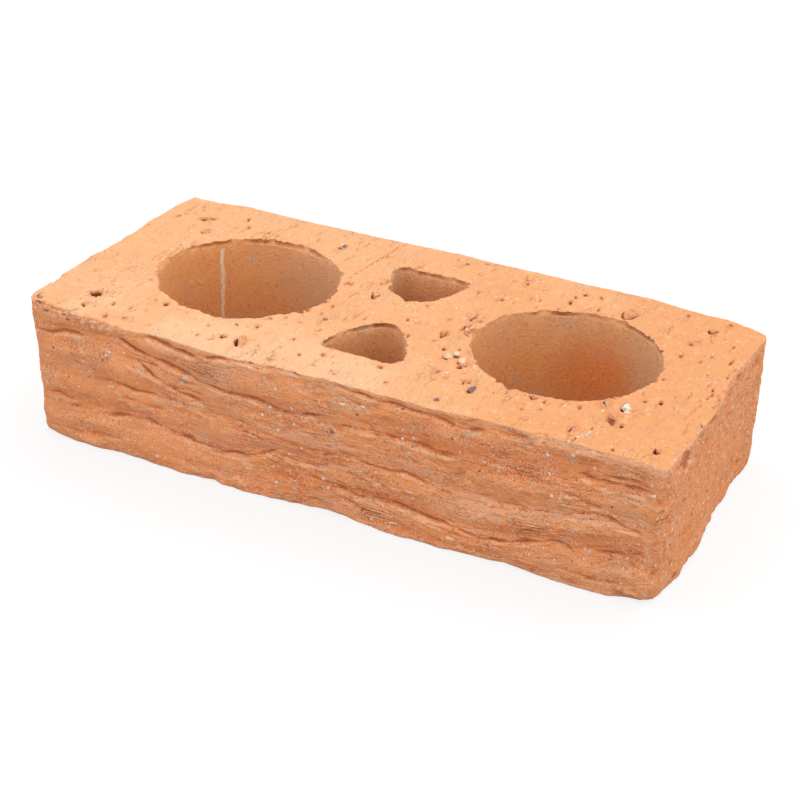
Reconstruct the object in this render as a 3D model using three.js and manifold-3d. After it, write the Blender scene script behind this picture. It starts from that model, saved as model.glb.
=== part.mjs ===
// A perforated facing brick of fired clay, lying on its lower bed.
// Millimetres, +Z up, origin in the middle of the footprint on the lower bed face.
// X runs along the length, Y across the width, and the cores run straight through in Z.
import * as THREE from 'three';
import { mergeVertices } from 'three/addons/utils/BufferGeometryUtils.js';
import Module from 'manifold-3d';

// Size over the mean faces. The waves of the faces stand up to 3 mm proud of them.
const LENGTH = 220;
const WIDTH = 103;
const HEIGHT = 50;

// The two round cores, one in each half of the brick.
const ROUND_CORE_DIAMETER = 62;
const END_WEB = 21.6;
const ROUND_CORE_DRIFT = 1.4;
const ROUND_CORE_STEPS = 60;

// The two wedge-shaped cores between them. Each has its base along a long face, full sides and a round point.
const WEDGE_BASE = 26.8;
const WEDGE_DEPTH = 24.8;
const WEDGE_BASE_CORNER = 3.4;
const WEDGE_HEEL_SHARE = 0.17;
const WEDGE_SIDE_PULL = [0.95, 0.42];
const WEDGE_POINT_PULL = 0.46;
const SIDE_WALL = 18.4;
const FRONT_WEDGE_SHIFT = -0.2;
const BACK_WEDGE_SHIFT = -3.2;
const WEDGE_CURVE_STEPS = 10;
const CORE_OVERRUN = 5;

// Plan radii of the four upright corners, and the worn rounding of the bed edges.
const CORNER_RADIUS_FRONT_LEFT = 4.5;
const CORNER_RADIUS_FRONT_RIGHT = 5.5;
const CORNER_RADIUS_BACK_RIGHT = 7;
const CORNER_RADIUS_BACK_LEFT = 6;
const EDGE_ROUNDING = 1.2;

// How finely the wavy skin is divided.
const LONG_FACE_STEPS = 48;
const END_FACE_STEPS = 18;
const CORNER_STEPS = 4;
const EDGE_STEPS = 2;
const SKIN_LEVELS = 15;

// Lines of each face as [share along the face from -1 to 1, millimetres proud of the mean face].
// One line is at the upper bed edge and one at the foot. The face runs smoothly between them.
const FRONT_LINES = {
  top: [[-1, 1.2], [-0.9, 3], [-0.5, 2.2], [-0.25, 2.7], [-0.12, 1.4], [0.34, 1.4], [0.46, 0.2], [1, 0]],
  foot: [[-1, 0], [-0.8, 1.2], [-0.5, 0.6], [-0.2, 0.3], [0, -0.8], [0.2, 0.3], [0.55, -0.7], [0.8, 0], [0.93, -1], [1, -2.6]],
};
const BACK_LINES = {
  top: [[-1, -3.6], [-0.8, -1.4], [-0.5, -1.6], [-0.1, 0.9], [0.3, 1.1], [0.7, 0.6], [0.88, -0.6], [1, -3.6]],
  foot: [[-1, -1], [-0.7, 0.6], [-0.3, -0.4], [0.1, 0.8], [0.5, -0.2], [0.8, 0.6], [1, -0.8]],
};
const RIGHT_LINES = {
  top: [[-1, 1], [-0.7, 1.6], [-0.3, 0.6], [0.1, -0.4], [0.6, 0.6], [1, 1.9]],
  foot: [[-1, -1.8], [-0.85, 0], [-0.65, 1.8], [-0.15, 1.9], [0.1, 0.2], [0.6, 0], [1, 0.9]],
};
const LEFT_LINES = {
  top: [[-1, 3.2], [-0.7, 3.3], [-0.4, 2.8], [0.2, 0.6], [0.45, 1], [0.7, 0], [1, -2.6]],
  foot: [[-1, -0.5], [-0.5, 0.3], [0, -0.6], [0.6, 0.2], [1, -0.8]],
};
const FOOT_BLEND_START = 0.3;
const FOOT_BLEND_END = 0.85;

// Creases of the rusticated long faces as [share along the face, share of the height].
const FRONT_CREASES = [
  [[-1, 0.79], [-0.88, 0.81], [-0.72, 0.86], [-0.6, 0.79], [-0.3, 0.71], [-0.11, 0.67], [0.2, 0.72], [0.42, 0.72],
    [0.64, 0.77], [1, 0.83]],
  [[-1, 0.5], [-0.75, 0.55], [-0.4, 0.51], [0, 0.46], [0.25, 0.48], [0.45, 0.44], [0.65, 0.43], [0.82, 0.56], [1, 0.5]],
  [[-1, 0.34], [-0.68, 0.32], [-0.38, 0.26], [-0.18, 0.35], [0.05, 0.38]],
  [[-0.15, 0.26], [0.09, 0.21], [0.25, 0.23], [0.5, 0.17], [0.68, 0.26], [0.85, 0.3], [1, 0.4]],
];
const BACK_CREASES = [
  [[-1, 0.83], [-0.7, 0.76], [-0.35, 0.8], [0, 0.72], [0.3, 0.77], [0.65, 0.7], [1, 0.76]],
  [[-1, 0.45], [-0.6, 0.53], [-0.25, 0.47], [0.1, 0.55], [0.5, 0.48], [1, 0.56]],
  [[-0.8, 0.2], [-0.4, 0.28], [-0.05, 0.22], [0.35, 0.3], [0.7, 0.22], [1, 0.27]],
];
const CREASE_DEPTH = 1.5;
const CREASE_REACH_UP = 4.2;
const CREASE_REACH_DOWN = 2.8;
const CREASE_FADE = 0.08;

// Small shiver of the skin that the drawn clay keeps all round.
const SHIVER_HEIGHT = 0.3;
const SHIVER_LENGTH = 17;
const SHIVER_LEAN = 0.35;

const HALF_LENGTH = LENGTH / 2;
const HALF_WIDTH = WIDTH / 2;

// Smooth height of a line through [place, value] stations.
function lineAt(stations, place) {
  if (place <= stations[0][0]) {
    return stations[0][1];
  }
  for (let index = 1; index < stations.length; index += 1) {
    const [start, startValue] = stations[index - 1];
    const [end, endValue] = stations[index];
    if (place <= end) {
      return THREE.MathUtils.lerp(startValue, endValue, THREE.MathUtils.smoothstep(place, start, end));
    }
  }
  return stations[stations.length - 1][1];
}

// One crease cuts in under the roll above it and runs out more quickly below.
function creaseOffset(crease, along, height) {
  const rise = height - lineAt(crease, along) * HEIGHT;
  const reach = rise > 0 ? CREASE_REACH_UP : CREASE_REACH_DOWN;
  const first = crease[0][0];
  const last = crease[crease.length - 1][0];
  const fadeIn = first > -1 ? THREE.MathUtils.smoothstep(along, first - CREASE_FADE, first + CREASE_FADE) : 1;
  const fadeOut = last < 1 ? 1 - THREE.MathUtils.smoothstep(along, last - CREASE_FADE, last + CREASE_FADE) : 1;
  return -CREASE_DEPTH * Math.exp(-((rise / reach) ** 2)) * fadeIn * fadeOut;
}

// How far a face stands out of its mean plane at one place.
function faceOffset(lines, creases, along, height) {
  const upShare = THREE.MathUtils.smoothstep(height / HEIGHT, FOOT_BLEND_START, FOOT_BLEND_END);
  let offset = THREE.MathUtils.lerp(lineAt(lines.foot, along), lineAt(lines.top, along), upShare);
  for (const crease of creases) {
    offset += creaseOffset(crease, along, height);
  }
  return offset;
}

// The shiver leans over as it climbs the face.
function shiverOffset(point, height) {
  const travel = point.x - point.y + SHIVER_LEAN * height;
  return SHIVER_HEIGHT * Math.sin((travel / SHIVER_LENGTH) * 2 * Math.PI);
}

// Each face counts by how squarely the outline faces it, so the waves turn the corners smoothly.
function skinOffset(point, normal, height) {
  const alongLength = point.x / HALF_LENGTH;
  const alongWidth = point.y / HALF_WIDTH;
  const front = Math.max(0, -normal.y) ** 2;
  const back = Math.max(0, normal.y) ** 2;
  const right = Math.max(0, normal.x) ** 2;
  const left = Math.max(0, -normal.x) ** 2;
  return front * faceOffset(FRONT_LINES, FRONT_CREASES, alongLength, height)
    + back * faceOffset(BACK_LINES, BACK_CREASES, alongLength, height)
    + right * faceOffset(RIGHT_LINES, [], alongWidth, height)
    + left * faceOffset(LEFT_LINES, [], alongWidth, height)
    + shiverOffset(point, height);
}

// Stations around the mean outline, anticlockwise from the front-left corner, each with its outward normal.
function outlineStations() {
  const corners = [
    { x: -1, y: -1, radius: CORNER_RADIUS_FRONT_LEFT, start: Math.PI, steps: LONG_FACE_STEPS },
    { x: 1, y: -1, radius: CORNER_RADIUS_FRONT_RIGHT, start: 1.5 * Math.PI, steps: END_FACE_STEPS },
    { x: 1, y: 1, radius: CORNER_RADIUS_BACK_RIGHT, start: 0, steps: LONG_FACE_STEPS },
    { x: -1, y: 1, radius: CORNER_RADIUS_BACK_LEFT, start: 0.5 * Math.PI, steps: END_FACE_STEPS },
  ];
  const stations = [];
  const arcPoint = (corner, step) => {
    const angle = corner.start + (step / CORNER_STEPS) * (Math.PI / 2);
    const normal = new THREE.Vector2(Math.cos(angle), Math.sin(angle));
    const centreX = corner.x * (HALF_LENGTH - corner.radius);
    const centreY = corner.y * (HALF_WIDTH - corner.radius);
    const point = new THREE.Vector2(centreX, centreY).addScaledVector(normal, corner.radius);
    return { point, normal };
  };
  corners.forEach((corner, index) => {
    for (let step = 0; step <= CORNER_STEPS; step += 1) {
      stations.push(arcPoint(corner, step));
    }
    const faceStart = arcPoint(corner, CORNER_STEPS);
    const faceEnd = arcPoint(corners[(index + 1) % corners.length], 0);
    for (let step = 1; step < corner.steps; step += 1) {
      const point = faceStart.point.clone().lerp(faceEnd.point, step / corner.steps);
      stations.push({ point, normal: faceStart.normal });
    }
  });
  return stations;
}

// Levels from the lower bed to the upper one, closer together in the worn edges.
function skinLevels() {
  const levels = [];
  for (let step = 0; step < EDGE_STEPS; step += 1) {
    const height = EDGE_ROUNDING * (1 - Math.cos((step / EDGE_STEPS) * (Math.PI / 2)));
    levels.push(height);
    levels.push(HEIGHT - height);
  }
  for (let step = 0; step <= SKIN_LEVELS; step += 1) {
    levels.push(THREE.MathUtils.lerp(EDGE_ROUNDING, HEIGHT - EDGE_ROUNDING, step / SKIN_LEVELS));
  }
  return levels.sort((a, b) => a - b);
}

// The worn edge draws the skin in by a quarter round next to either bed.
function edgeInset(height) {
  const toBed = Math.min(height, HEIGHT - height);
  if (toBed >= EDGE_ROUNDING) {
    return 0;
  }
  const reach = EDGE_ROUNDING - toBed;
  return EDGE_ROUNDING - Math.sqrt(EDGE_ROUNDING ** 2 - reach ** 2);
}

// The outer body without its cores: wavy rings stacked in Z and closed by two plane beds.
function bodyGeometry() {
  const stations = outlineStations();
  const levels = skinLevels();
  const positions = [];
  for (const height of levels) {
    for (const { point, normal } of stations) {
      const offset = skinOffset(point, normal, height) - edgeInset(height);
      positions.push(point.x + normal.x * offset, point.y + normal.y * offset, height);
    }
  }
  const count = stations.length;
  const triangles = [];
  for (let level = 0; level < levels.length - 1; level += 1) {
    for (let index = 0; index < count; index += 1) {
      const next = (index + 1) % count;
      const low = level * count + index;
      const lowNext = level * count + next;
      triangles.push(low, lowNext, lowNext + count);
      triangles.push(low, lowNext + count, low + count);
    }
  }
  const lowerCentre = levels.length * count;
  const upperCentre = lowerCentre + 1;
  const topStart = (levels.length - 1) * count;
  positions.push(0, 0, 0);
  positions.push(0, 0, HEIGHT);
  for (let index = 0; index < count; index += 1) {
    const next = (index + 1) % count;
    triangles.push(lowerCentre, next, index);
    triangles.push(upperCentre, topStart + index, topStart + next);
  }
  const geometry = new THREE.BufferGeometry();
  geometry.setAttribute('position', new THREE.Float32BufferAttribute(positions, 3));
  geometry.setIndex(triangles);
  return geometry;
}

function roundCoreGeometry(side) {
  const radius = ROUND_CORE_DIAMETER / 2;
  const depth = HEIGHT + 2 * CORE_OVERRUN;
  const geometry = new THREE.CylinderGeometry(radius, radius, depth, ROUND_CORE_STEPS);
  geometry.rotateX(Math.PI / 2);
  geometry.translate(side * (HALF_LENGTH - END_WEB - radius), side * ROUND_CORE_DRIFT, HEIGHT / 2);
  return geometry;
}

// Wedge outline with its base along y = 0 and its round point at y = WEDGE_DEPTH.
function wedgeOutline() {
  const half = WEDGE_BASE / 2;
  const heel = WEDGE_DEPTH * WEDGE_HEEL_SHARE;
  const sideX = half * WEDGE_SIDE_PULL[0];
  const sideY = WEDGE_DEPTH * WEDGE_SIDE_PULL[1];
  const pointX = half * WEDGE_POINT_PULL;
  const shape = new THREE.Shape();
  shape.moveTo(-half + WEDGE_BASE_CORNER, 0);
  shape.lineTo(half - WEDGE_BASE_CORNER, 0);
  shape.quadraticCurveTo(half, 0, half, heel);
  shape.bezierCurveTo(sideX, sideY, pointX, WEDGE_DEPTH, 0, WEDGE_DEPTH);
  shape.bezierCurveTo(-pointX, WEDGE_DEPTH, -sideX, sideY, -half, heel);
  shape.quadraticCurveTo(-half, 0, -half + WEDGE_BASE_CORNER, 0);
  return shape;
}

// A wedge core stands with its base SIDE_WALL inside the mean long face and points to the middle.
function wedgeCoreGeometry(side, shift) {
  const depth = HEIGHT + 2 * CORE_OVERRUN;
  const geometry = new THREE.ExtrudeGeometry(wedgeOutline(), {
    depth,
    bevelEnabled: false,
    curveSegments: WEDGE_CURVE_STEPS,
  });
  if (side > 0) {
    geometry.rotateZ(Math.PI);
  }
  geometry.translate(shift, side * (HALF_WIDTH - SIDE_WALL), -CORE_OVERRUN);
  return geometry;
}

const wasm = await Module();
wasm.setup();

function toSolid(geometry) {
  const bare = geometry.clone();
  bare.deleteAttribute('normal');
  bare.deleteAttribute('uv');
  const welded = mergeVertices(bare);
  return new wasm.Manifold(new wasm.Mesh({
    numProp: 3,
    vertProperties: new Float32Array(welded.attributes.position.array),
    triVerts: new Uint32Array(welded.index.array),
  }));
}

function toGeometry(solid) {
  const mesh = solid.getMesh();
  const geometry = new THREE.BufferGeometry();
  geometry.setAttribute('position', new THREE.Float32BufferAttribute(mesh.vertProperties, 3));
  geometry.setIndex(Array.from(mesh.triVerts));
  geometry.computeVertexNormals();
  return geometry;
}

// The middle of the overall footprint becomes the origin.
function centreFootprint(geometry) {
  geometry.computeBoundingBox();
  const { min, max } = geometry.boundingBox;
  geometry.translate(-(min.x + max.x) / 2, -(min.y + max.y) / 2, 0);
}

function brickGeometry() {
  const cores = [
    roundCoreGeometry(-1),
    roundCoreGeometry(1),
    wedgeCoreGeometry(-1, FRONT_WEDGE_SHIFT),
    wedgeCoreGeometry(1, BACK_WEDGE_SHIFT),
  ];
  let solid = toSolid(bodyGeometry());
  for (const core of cores) {
    solid = solid.subtract(toSolid(core));
  }
  const geometry = toGeometry(solid);
  centreFootprint(geometry);
  return geometry;
}

const brick = new THREE.Mesh(
  brickGeometry(),
  new THREE.MeshStandardMaterial({ color: 0xd9925f, roughness: 0.9, metalness: 0 }),
);
brick.name = 'clay_brick';

const group = new THREE.Group();
group.name = 'perforated_facing_brick';
group.add(brick);

export default group;
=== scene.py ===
"""A perforated facing brick of fired clay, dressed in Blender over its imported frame.

X runs along the brick, Y across it and Z up from the lower bed. The surface is worked
out in millimetres, and a mesh gets metres when it is made.
"""

import math

import bmesh
import bpy
import numpy as np
from mathutils import Euler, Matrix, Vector
from mathutils.bvhtree import BVHTree
from mathutils.kdtree import KDTree


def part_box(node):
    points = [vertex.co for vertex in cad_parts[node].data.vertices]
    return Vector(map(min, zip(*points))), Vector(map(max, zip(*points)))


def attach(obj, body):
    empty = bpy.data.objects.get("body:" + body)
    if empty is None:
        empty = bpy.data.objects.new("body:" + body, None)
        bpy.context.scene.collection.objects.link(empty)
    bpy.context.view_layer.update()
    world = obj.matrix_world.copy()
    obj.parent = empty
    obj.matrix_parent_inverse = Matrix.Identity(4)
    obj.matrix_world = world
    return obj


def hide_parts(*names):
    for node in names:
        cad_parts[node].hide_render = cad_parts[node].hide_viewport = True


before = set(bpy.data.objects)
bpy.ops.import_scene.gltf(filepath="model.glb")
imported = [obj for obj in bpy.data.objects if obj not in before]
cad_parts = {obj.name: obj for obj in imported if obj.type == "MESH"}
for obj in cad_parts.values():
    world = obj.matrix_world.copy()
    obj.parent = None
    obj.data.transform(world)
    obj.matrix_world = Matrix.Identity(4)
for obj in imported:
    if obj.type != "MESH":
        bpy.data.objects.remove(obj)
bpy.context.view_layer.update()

MM = 0.001
NODE = "clay_brick"
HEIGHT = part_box(NODE)[1][2] / MM

# Mean outline that the faces wave about, and the plan radius over which their directions turn.
HALF_LENGTH = 110.0
HALF_WIDTH = 51.5
TURN_RADIUS = 10.0
CORE_X = HALF_LENGTH - TURN_RADIUS
CORE_Y = HALF_WIDTH - TURN_RADIUS
HALF_ROUND = 2.0 * (CORE_X + CORE_Y) + math.pi * TURN_RADIUS

SKIN_BAND = 9.0
CAD_ROUNDING = 1.2
VOXEL = 0.43
MOST_TRIANGLES = 190000
COARSE_SHARE = 0.13
SHARP_ANGLE = 38.0


# ---------------------------------------------------------------- noise and shaping


def smooth(low, high, value):
    """Smooth step from 0 at low to 1 at high. It falls instead where low is over high."""
    share = np.clip((value - low) / (high - low), 0.0, 1.0)
    return share * share * (3.0 - 2.0 * share)


def hump(value, reach):
    return np.exp(-(value / reach) ** 2)


def noise(points, size, seed):
    """Smooth noise from about -1 to 1. size is its grain in millimetres, one number or three."""
    random = np.random.default_rng(seed)
    shuffle = random.permutation(256)
    slopes = random.normal(size=(256, 3))
    slopes = (slopes / np.linalg.norm(slopes, axis=1)[:, None]).astype(np.float32)
    scaled = points / np.asarray(size, float)
    floor = np.floor(scaled)
    part = (scaled - floor).astype(np.float32).T
    cell = floor.astype(np.int64).T & 255
    corner = (cell, (cell + 1) & 255)
    ease = part ** 3 * (part * (part * 6.0 - 15.0) + 10.0)
    share = (1.0 - ease, ease)
    total = np.zeros(len(points), np.float32)
    for i in (0, 1):
        along = shuffle[corner[i][0]]
        for j in (0, 1):
            across = shuffle[(along + corner[j][1]) & 255]
            for k in (0, 1):
                slope = slopes[shuffle[(across + corner[k][2]) & 255]]
                lean = (part[0] - i) * slope[:, 0] + (part[1] - j) * slope[:, 1] + (part[2] - k) * slope[:, 2]
                total += lean * share[i][0] * share[j][1] * share[k][2]
    return total.astype(float) * 1.6


def rough(points, size, seed, octaves=3, gain=0.5):
    """Noise with finer noise on it."""
    total = np.zeros(len(points))
    for octave in range(octaves):
        total += gain ** octave * noise(points * 2.0 ** octave, size, seed + octave)
    return total


def line_noise(along, size, seed):
    return noise(np.c_[along, along * 0.0, along * 0.0 + 0.5 * size], size, seed)


# ---------------------------------------------------------------- places on the brick

# Marks of the front face are placed by the height that they show over one upright plane when
# seen from the camera, where a place lying deeper than the plane shows higher.
FRONT_PLANE = -51.58
SEEN_RISE = 0.57


def seen_height(points):
    return points[:, 2] + SEEN_RISE * (points[:, 1] - FRONT_PLANE)


def round_outline(x, y):
    """Way round the mean outline, distance out of it, and outward direction, for each point.

    The way is 0 in the middle of the front face and grows to the right.
    """
    over_x = np.abs(x) - CORE_X
    over_y = np.abs(y) - CORE_Y
    inside = (over_x < 0) & (over_y < 0)
    to_end = over_x > over_y
    step_x = np.where(inside, to_end, np.maximum(over_x, 0.0))
    step_y = np.where(inside, ~to_end, np.maximum(over_y, 0.0))
    reach = np.hypot(step_x, step_y) + 1e-9
    out = np.where(inside, np.maximum(over_x, over_y), reach) - TURN_RADIUS
    climb = np.where(step_y > 0, 0.0, CORE_Y - np.abs(y))
    from_middle = np.minimum(np.abs(x), CORE_X) + TURN_RADIUS * np.arctan2(step_x, step_y) + climb
    way = np.sign(x) * np.where(y < 0, from_middle, HALF_ROUND - from_middle)
    return way, out, np.sign(x) * step_x / reach, np.sign(y) * step_y / reach


def face_shares(out_y):
    """How far each point belongs to the front, to the back and to an end."""
    front = np.maximum(-out_y, 0.0) ** 2
    back = np.maximum(out_y, 0.0) ** 2
    return front, back, 1.0 - front - back


class Grid:
    """Values on a regular grid over the skin, round the outline and up it."""

    def __init__(self, way, height, value, cell=1.0, low=2.0, high=HEIGHT - 2.0):
        self.cell, self.low = cell, low
        self.columns = int(2.0 * HALF_ROUND / cell)
        self.rows = int((high - low) / cell) + 1
        column = np.rint((way + HALF_ROUND) / 2.0 / HALF_ROUND * self.columns).astype(int) % self.columns
        row = np.rint((height - low) / cell).astype(int)
        good = (row >= 0) & (row < self.rows)
        index = column[good] * self.rows + row[good]
        shape = (self.columns, self.rows)
        self.count = np.bincount(index, minlength=self.columns * self.rows).reshape(shape)
        self.total = np.bincount(index, value[good], self.columns * self.rows).reshape(shape)

    def blurred(self, across, up):
        """Values averaged over Gaussian windows, as wide as given in millimetres."""
        total = self.blur(self.total, across, up)
        return total / np.maximum(self.blur(self.count.astype(float), across, up), 1e-9)

    def blur(self, field, across, up):
        reach = int(3 * across / self.cell)
        weights = hump(np.arange(-reach, reach + 1) * self.cell, across * math.sqrt(2))
        field = sum(w * np.roll(field, k - reach, 0) for k, w in enumerate(weights))
        reach = int(3 * up / self.cell)
        weights = hump(np.arange(-reach, reach + 1) * self.cell, up * math.sqrt(2))
        padded = np.pad(field, ((0, 0), (reach, reach)), mode="reflect")
        return sum(w * padded[:, k:k + field.shape[1]] for k, w in enumerate(weights))

    def read(self, field, way, height):
        """The field at each point, between its grid values."""
        column = (way + HALF_ROUND) / 2.0 / HALF_ROUND * self.columns
        row = np.clip((height - self.low) / self.cell, 0.0, self.rows - 1.001)
        left = np.floor(column).astype(int)
        below = np.floor(row).astype(int)
        part = column - left
        rise = row - below
        left, right = left % self.columns, (left + 1) % self.columns
        lower = field[left, below] * (1 - part) + field[right, below] * part
        upper = field[left, below + 1] * (1 - part) + field[right, below + 1] * part
        return lower * (1 - rise) + upper * rise


# ---------------------------------------------------------------- relief of the long faces

# Lines that the layers of a face follow, from the foot up, as heights at stations along it.
FLOW_STATIONS = (-110, -80, -50, -20, 0, 20, 45, 60, 80, 95, 110)
FRONT_FLOW = (
    (0, (0,) * 11),
    (12, (14, 15, 14.5, 16, 13, 11.5, 9.5, 10, 14, 16.5, 20)),
    (24, (25, 27, 26, 24, 23.5, 24, 21.5, 22, 25, 26, 26)),
    (38, (39.5, 43, 37.5, 35, 35.5, 36.5, 35.5, 36.5, 38, 41, 42)),
    (50, (50,) * 11),
)
BACK_FLOW = (
    (0, (0,) * 11),
    (12, (10, 11.5, 14, 12, 11, 13, 15, 14, 11, 12, 13)),
    (26, (23, 26, 25.5, 23.5, 25, 27, 25.5, 24, 26.5, 27.5, 28)),
    (39, (41, 38.5, 39, 40, 36.5, 38, 37, 35.5, 36.5, 38, 38)),
    (50, (50,) * 11),
)

# Folds of the front face: depth, then places along the face and up it.
FRONT_CREASES = (
    (1.0, (-109, 39.9), (-105, 40), (-100, 40.6), (-97, 41.8), (-94, 42), (-90.5, 42.1)),
    (1.2, (-75.5, 45), (-73, 43.5), (-70, 42), (-67, 41.2), (-58, 40.2), (-54, 39.2), (-51, 38.2)),
    (0.7, (-56, 39), (-51, 38.1), (-45, 37), (-38, 36)),
    (0.9, (-42, 36.4), (-36, 35.8), (-28, 36.4), (-20, 35.3), (-12, 34.4), (-5, 36), (-1, 37.5)),
    (0.3, (-72, 38.5), (-66, 38), (-60, 38)),
    (0.9, (-68.5, 37.5), (-66, 35.8), (-63, 34), (-57, 31.2), (-54, 30.3), (-46, 29.6)),
    (0.7, (-82, 27.8), (-79, 28.5), (-72, 27), (-64, 27.8), (-50, 26.5)),
    (0.6, (-106.3, 28), (-105, 26), (-101, 22.7), (-96, 20.2)),
    (0.5, (-107, 17.8), (-101, 18.6), (-97, 17.4), (-93, 17)), (0.3, (-96, 14.2), (-92, 15.3)),
    (1.1, (-80, 15), (-75, 16.5), (-66, 17), (-58, 15.8), (-50, 14.6)),
    (0.8, (-54, 14.8), (-45, 13.7), (-38, 13.2), (-30, 14.2), (-25, 16), (-18, 19.8)),
    (0.3, (-50, 12.9), (-38, 12.3), (-28, 13)), (0.3, (-48, 15.2), (-38, 14.3), (-30, 15.3), (-26, 17)),
    (0.3, (-40, 15.4), (-33, 16), (-27, 17.8)), (0.4, (-55, 6.4), (-50, 5.4), (-46, 4.1), (-42, 3.7)),
    (0.5, (-95.5, 3.5), (-93, 4.7), (-91, 6), (-84, 5.9), (-80, 7)),
    (0.9, (-66, 47.8), (-62, 47.6), (-57, 46.8), (-52, 45.9), (-47, 45.5)),
    (0.8, (-42, 46.8), (-39, 47.5), (-36, 48), (-25, 48.8)), (0.4, (-22, 49), (-12, 49.4), (-4, 49)),
    (0.4, (-20, 18), (-12, 17.6), (-5, 17.8), (0, 18.6)), (0.3, (-38, 27), (-34, 27.3), (-26, 25.3)),
    (0.3, (-12, 17.5), (-4, 17.5)), (0.3, (-18, 10.5), (-9, 11)), (0.4, (-7, 13.5), (-2, 13)),
    (1.0, (-1, 49.5), (3, 48.8), (8, 48), (22, 47.5), (37, 46.9), (42, 45.8), (47, 45.6), (52, 46.5)),
    (0.3, (-2, 42), (5, 41.5)), (0.4, (1, 39), (5, 38.9), (11, 38)),
    (1.1, (20, 36.3), (25, 36.6), (30, 36.4), (40, 35.4), (44, 35.5)),
    (0.4, (5, 35.7), (12, 35.4), (20, 35.2)), (0.25, (20, 40), (23, 39.7), (27, 40.5)),
    (0.25, (31, 40.2), (35, 39.7), (40, 40.2)),
    (0.7, (-2, 22.8), (4, 24.3), (8, 23.8), (19, 23.5), (26, 24.6), (34, 23), (43, 21.4)),
    (0.25, (15, 26.7), (26, 26.8)), (0.25, (17, 25.6), (25, 25.7)), (0.25, (37, 24.2), (43, 24)),
    (1.1, (-2, 13), (3, 12.6), (11, 11), (20, 12.3), (25, 12.3), (37, 10), (40, 10.3), (49, 9), (55, 8.8),
     (62, 10.4)), (0.3, (36, 8.4), (49, 7.7)), (0.25, (6, 8.3), (14, 8), (24, 7.3)),
    (0.25, (8, 6.9), (16, 6.6), (21, 6.3)), (0.25, (14, 5.3), (20, 5.4), (26, 4.9)),
    (0.3, (54, 37), (58, 37.4), (62, 37.9)),
    (0.9, (84, 41), (90, 40.7), (95, 41), (106, 41.8), (109, 42.2)),
    (0.7, (91, 42), (95, 42.8), (99, 43.6), (107, 43)), (0.8, (80, 33.5), (83, 33), (86, 32.2), (91.5, 31)),
    (0.4, (72, 30.5), (78, 31.7), (82, 31.4)), (0.3, (79, 29.7), (88, 30.3)), (0.4, (89, 28.9), (92, 29.1)),
    (0.3, (81, 27.8), (88, 28)), (0.9, (92.5, 29), (97, 27.7), (105, 26.2)),
    (0.2, (87, 22.6), (93, 22.3), (100, 22)), (0.8, (100, 17.5), (105, 19.5), (108, 21), (110, 21.4)),
    (0.8, (88, 16.3), (93, 16.6), (98, 17.4), (100, 17.5)),
    (1.0, (62, 10.4), (66, 11.6), (73, 14), (76, 15.2), (79, 15.4), (84, 14)),
    (0.3, (76, 13.9), (82, 13.4)), (0.6, (79, 6.3), (89, 5.9), (93, 5.9), (100, 7.1)),
    (0.3, (54, 7.4), (61, 7.2)), (0.3, (55, 27), (62, 26.8)),
)

# Low ridges of the front face: how proud and how wide, then places along the face and up it.
FRONT_RIDGES = (
    (0.4, 1.0, (-72, 35.5), (-62, 32), (-50, 29), (-44, 28)),
    (0.4, 0.8, (-60, 25.6), (-50, 25.5), (-42, 24.3)), (0.4, 0.8, (-66, 47.8), (-60, 46.4), (-55, 45.7)),
    (0.4, 1.0, (-38, 46), (-33, 47), (-27, 47.3), (-20, 47), (-15, 45.7), (-8, 43.2), (-3, 42)),
    (0.3, 0.6, (-22.5, 45.5), (-21, 44), (-20, 42)), (0.3, 0.6, (-57, 27.2), (-50, 26.8), (-45, 26.4)),
    (0.4, 0.8, (-47, 3.6), (-42, 4.6), (-38, 3.4)), (0.4, 0.8, (-36, 3.2), (-32, 4.6), (-28.5, 3.2)),
    (0.3, 0.6, (-30, 29), (-24, 27.6), (-19, 27)), (0.3, 0.6, (-12, 45.2), (-5, 46)),
    (0.3, 0.6, (-12, 42.6), (-5, 43)), (0.4, 0.8, (-9.5, 32), (-6, 34.5), (-3, 33.2), (0, 33.3)),
    (0.4, 1.0, (-2, 18), (3, 19.5), (8, 20.4), (15, 18), (20, 17.3), (27, 17.3)),
    (0.5, 1.2, (22, 34.3), (33, 34.2), (44, 34)), (0.3, 0.8, (54, 35.6), (62, 36.2)),
    (0.5, 1.0, (49, 13), (52, 16), (55, 18.5)), (0.4, 1.0, (75, 23), (79, 24), (85, 25.2), (104, 25.3)),
    (0.6, 1.5, (84, 39.8), (88, 38.2), (93, 37.8), (98, 38.2), (103, 39), (107, 39.8)),
    (0.3, 0.8, (57, 46.5), (64, 46.3), (69, 44.8)),
)

# Pads between the folds: place along the face and up it, half sizes, and how proud.
FRONT_PADS = (
    (-65, 43.5, 10, 3.5, 0.6), (-29, 41, 8, 5, 0.5), (-13, 42, 8, 5, 0.5), (-100, 35, 8, 5, 0.6),
    (-75, 32.5, 8, 4.5, 0.6), (-95, 25, 9, 5, 0.6), (-37, 21, 9, 5.5, 0.6), (-85, 12, 12, 5, 0.6),
    (-57, 20, 8, 4, 0.5), (-45, 9, 14, 3.5, 0.6), (-100, 8, 8, 4, 0.5), (-88, 3, 6, 2.2, 0.9),
    (-31, 3.5, 4, 2, 0.6), (-62, 10, 10, 4, 0.4), (-25, 29, 10, 4, 0.4), (6, 16.5, 8, 3.5, 0.5),
    (30, 20.5, 15, 3.5, 0.5), (18, 30, 14, 5, 0.4), (62, 31, 11, 5, 0.4), (66, 41, 8, 4, 0.3),
    (92, 34, 9, 3, 0.4), (72, 18, 8, 4, 0.4), (40, 42, 9, 4, 0.3), (88, 10, 9, 3, 0.4),
)

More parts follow.
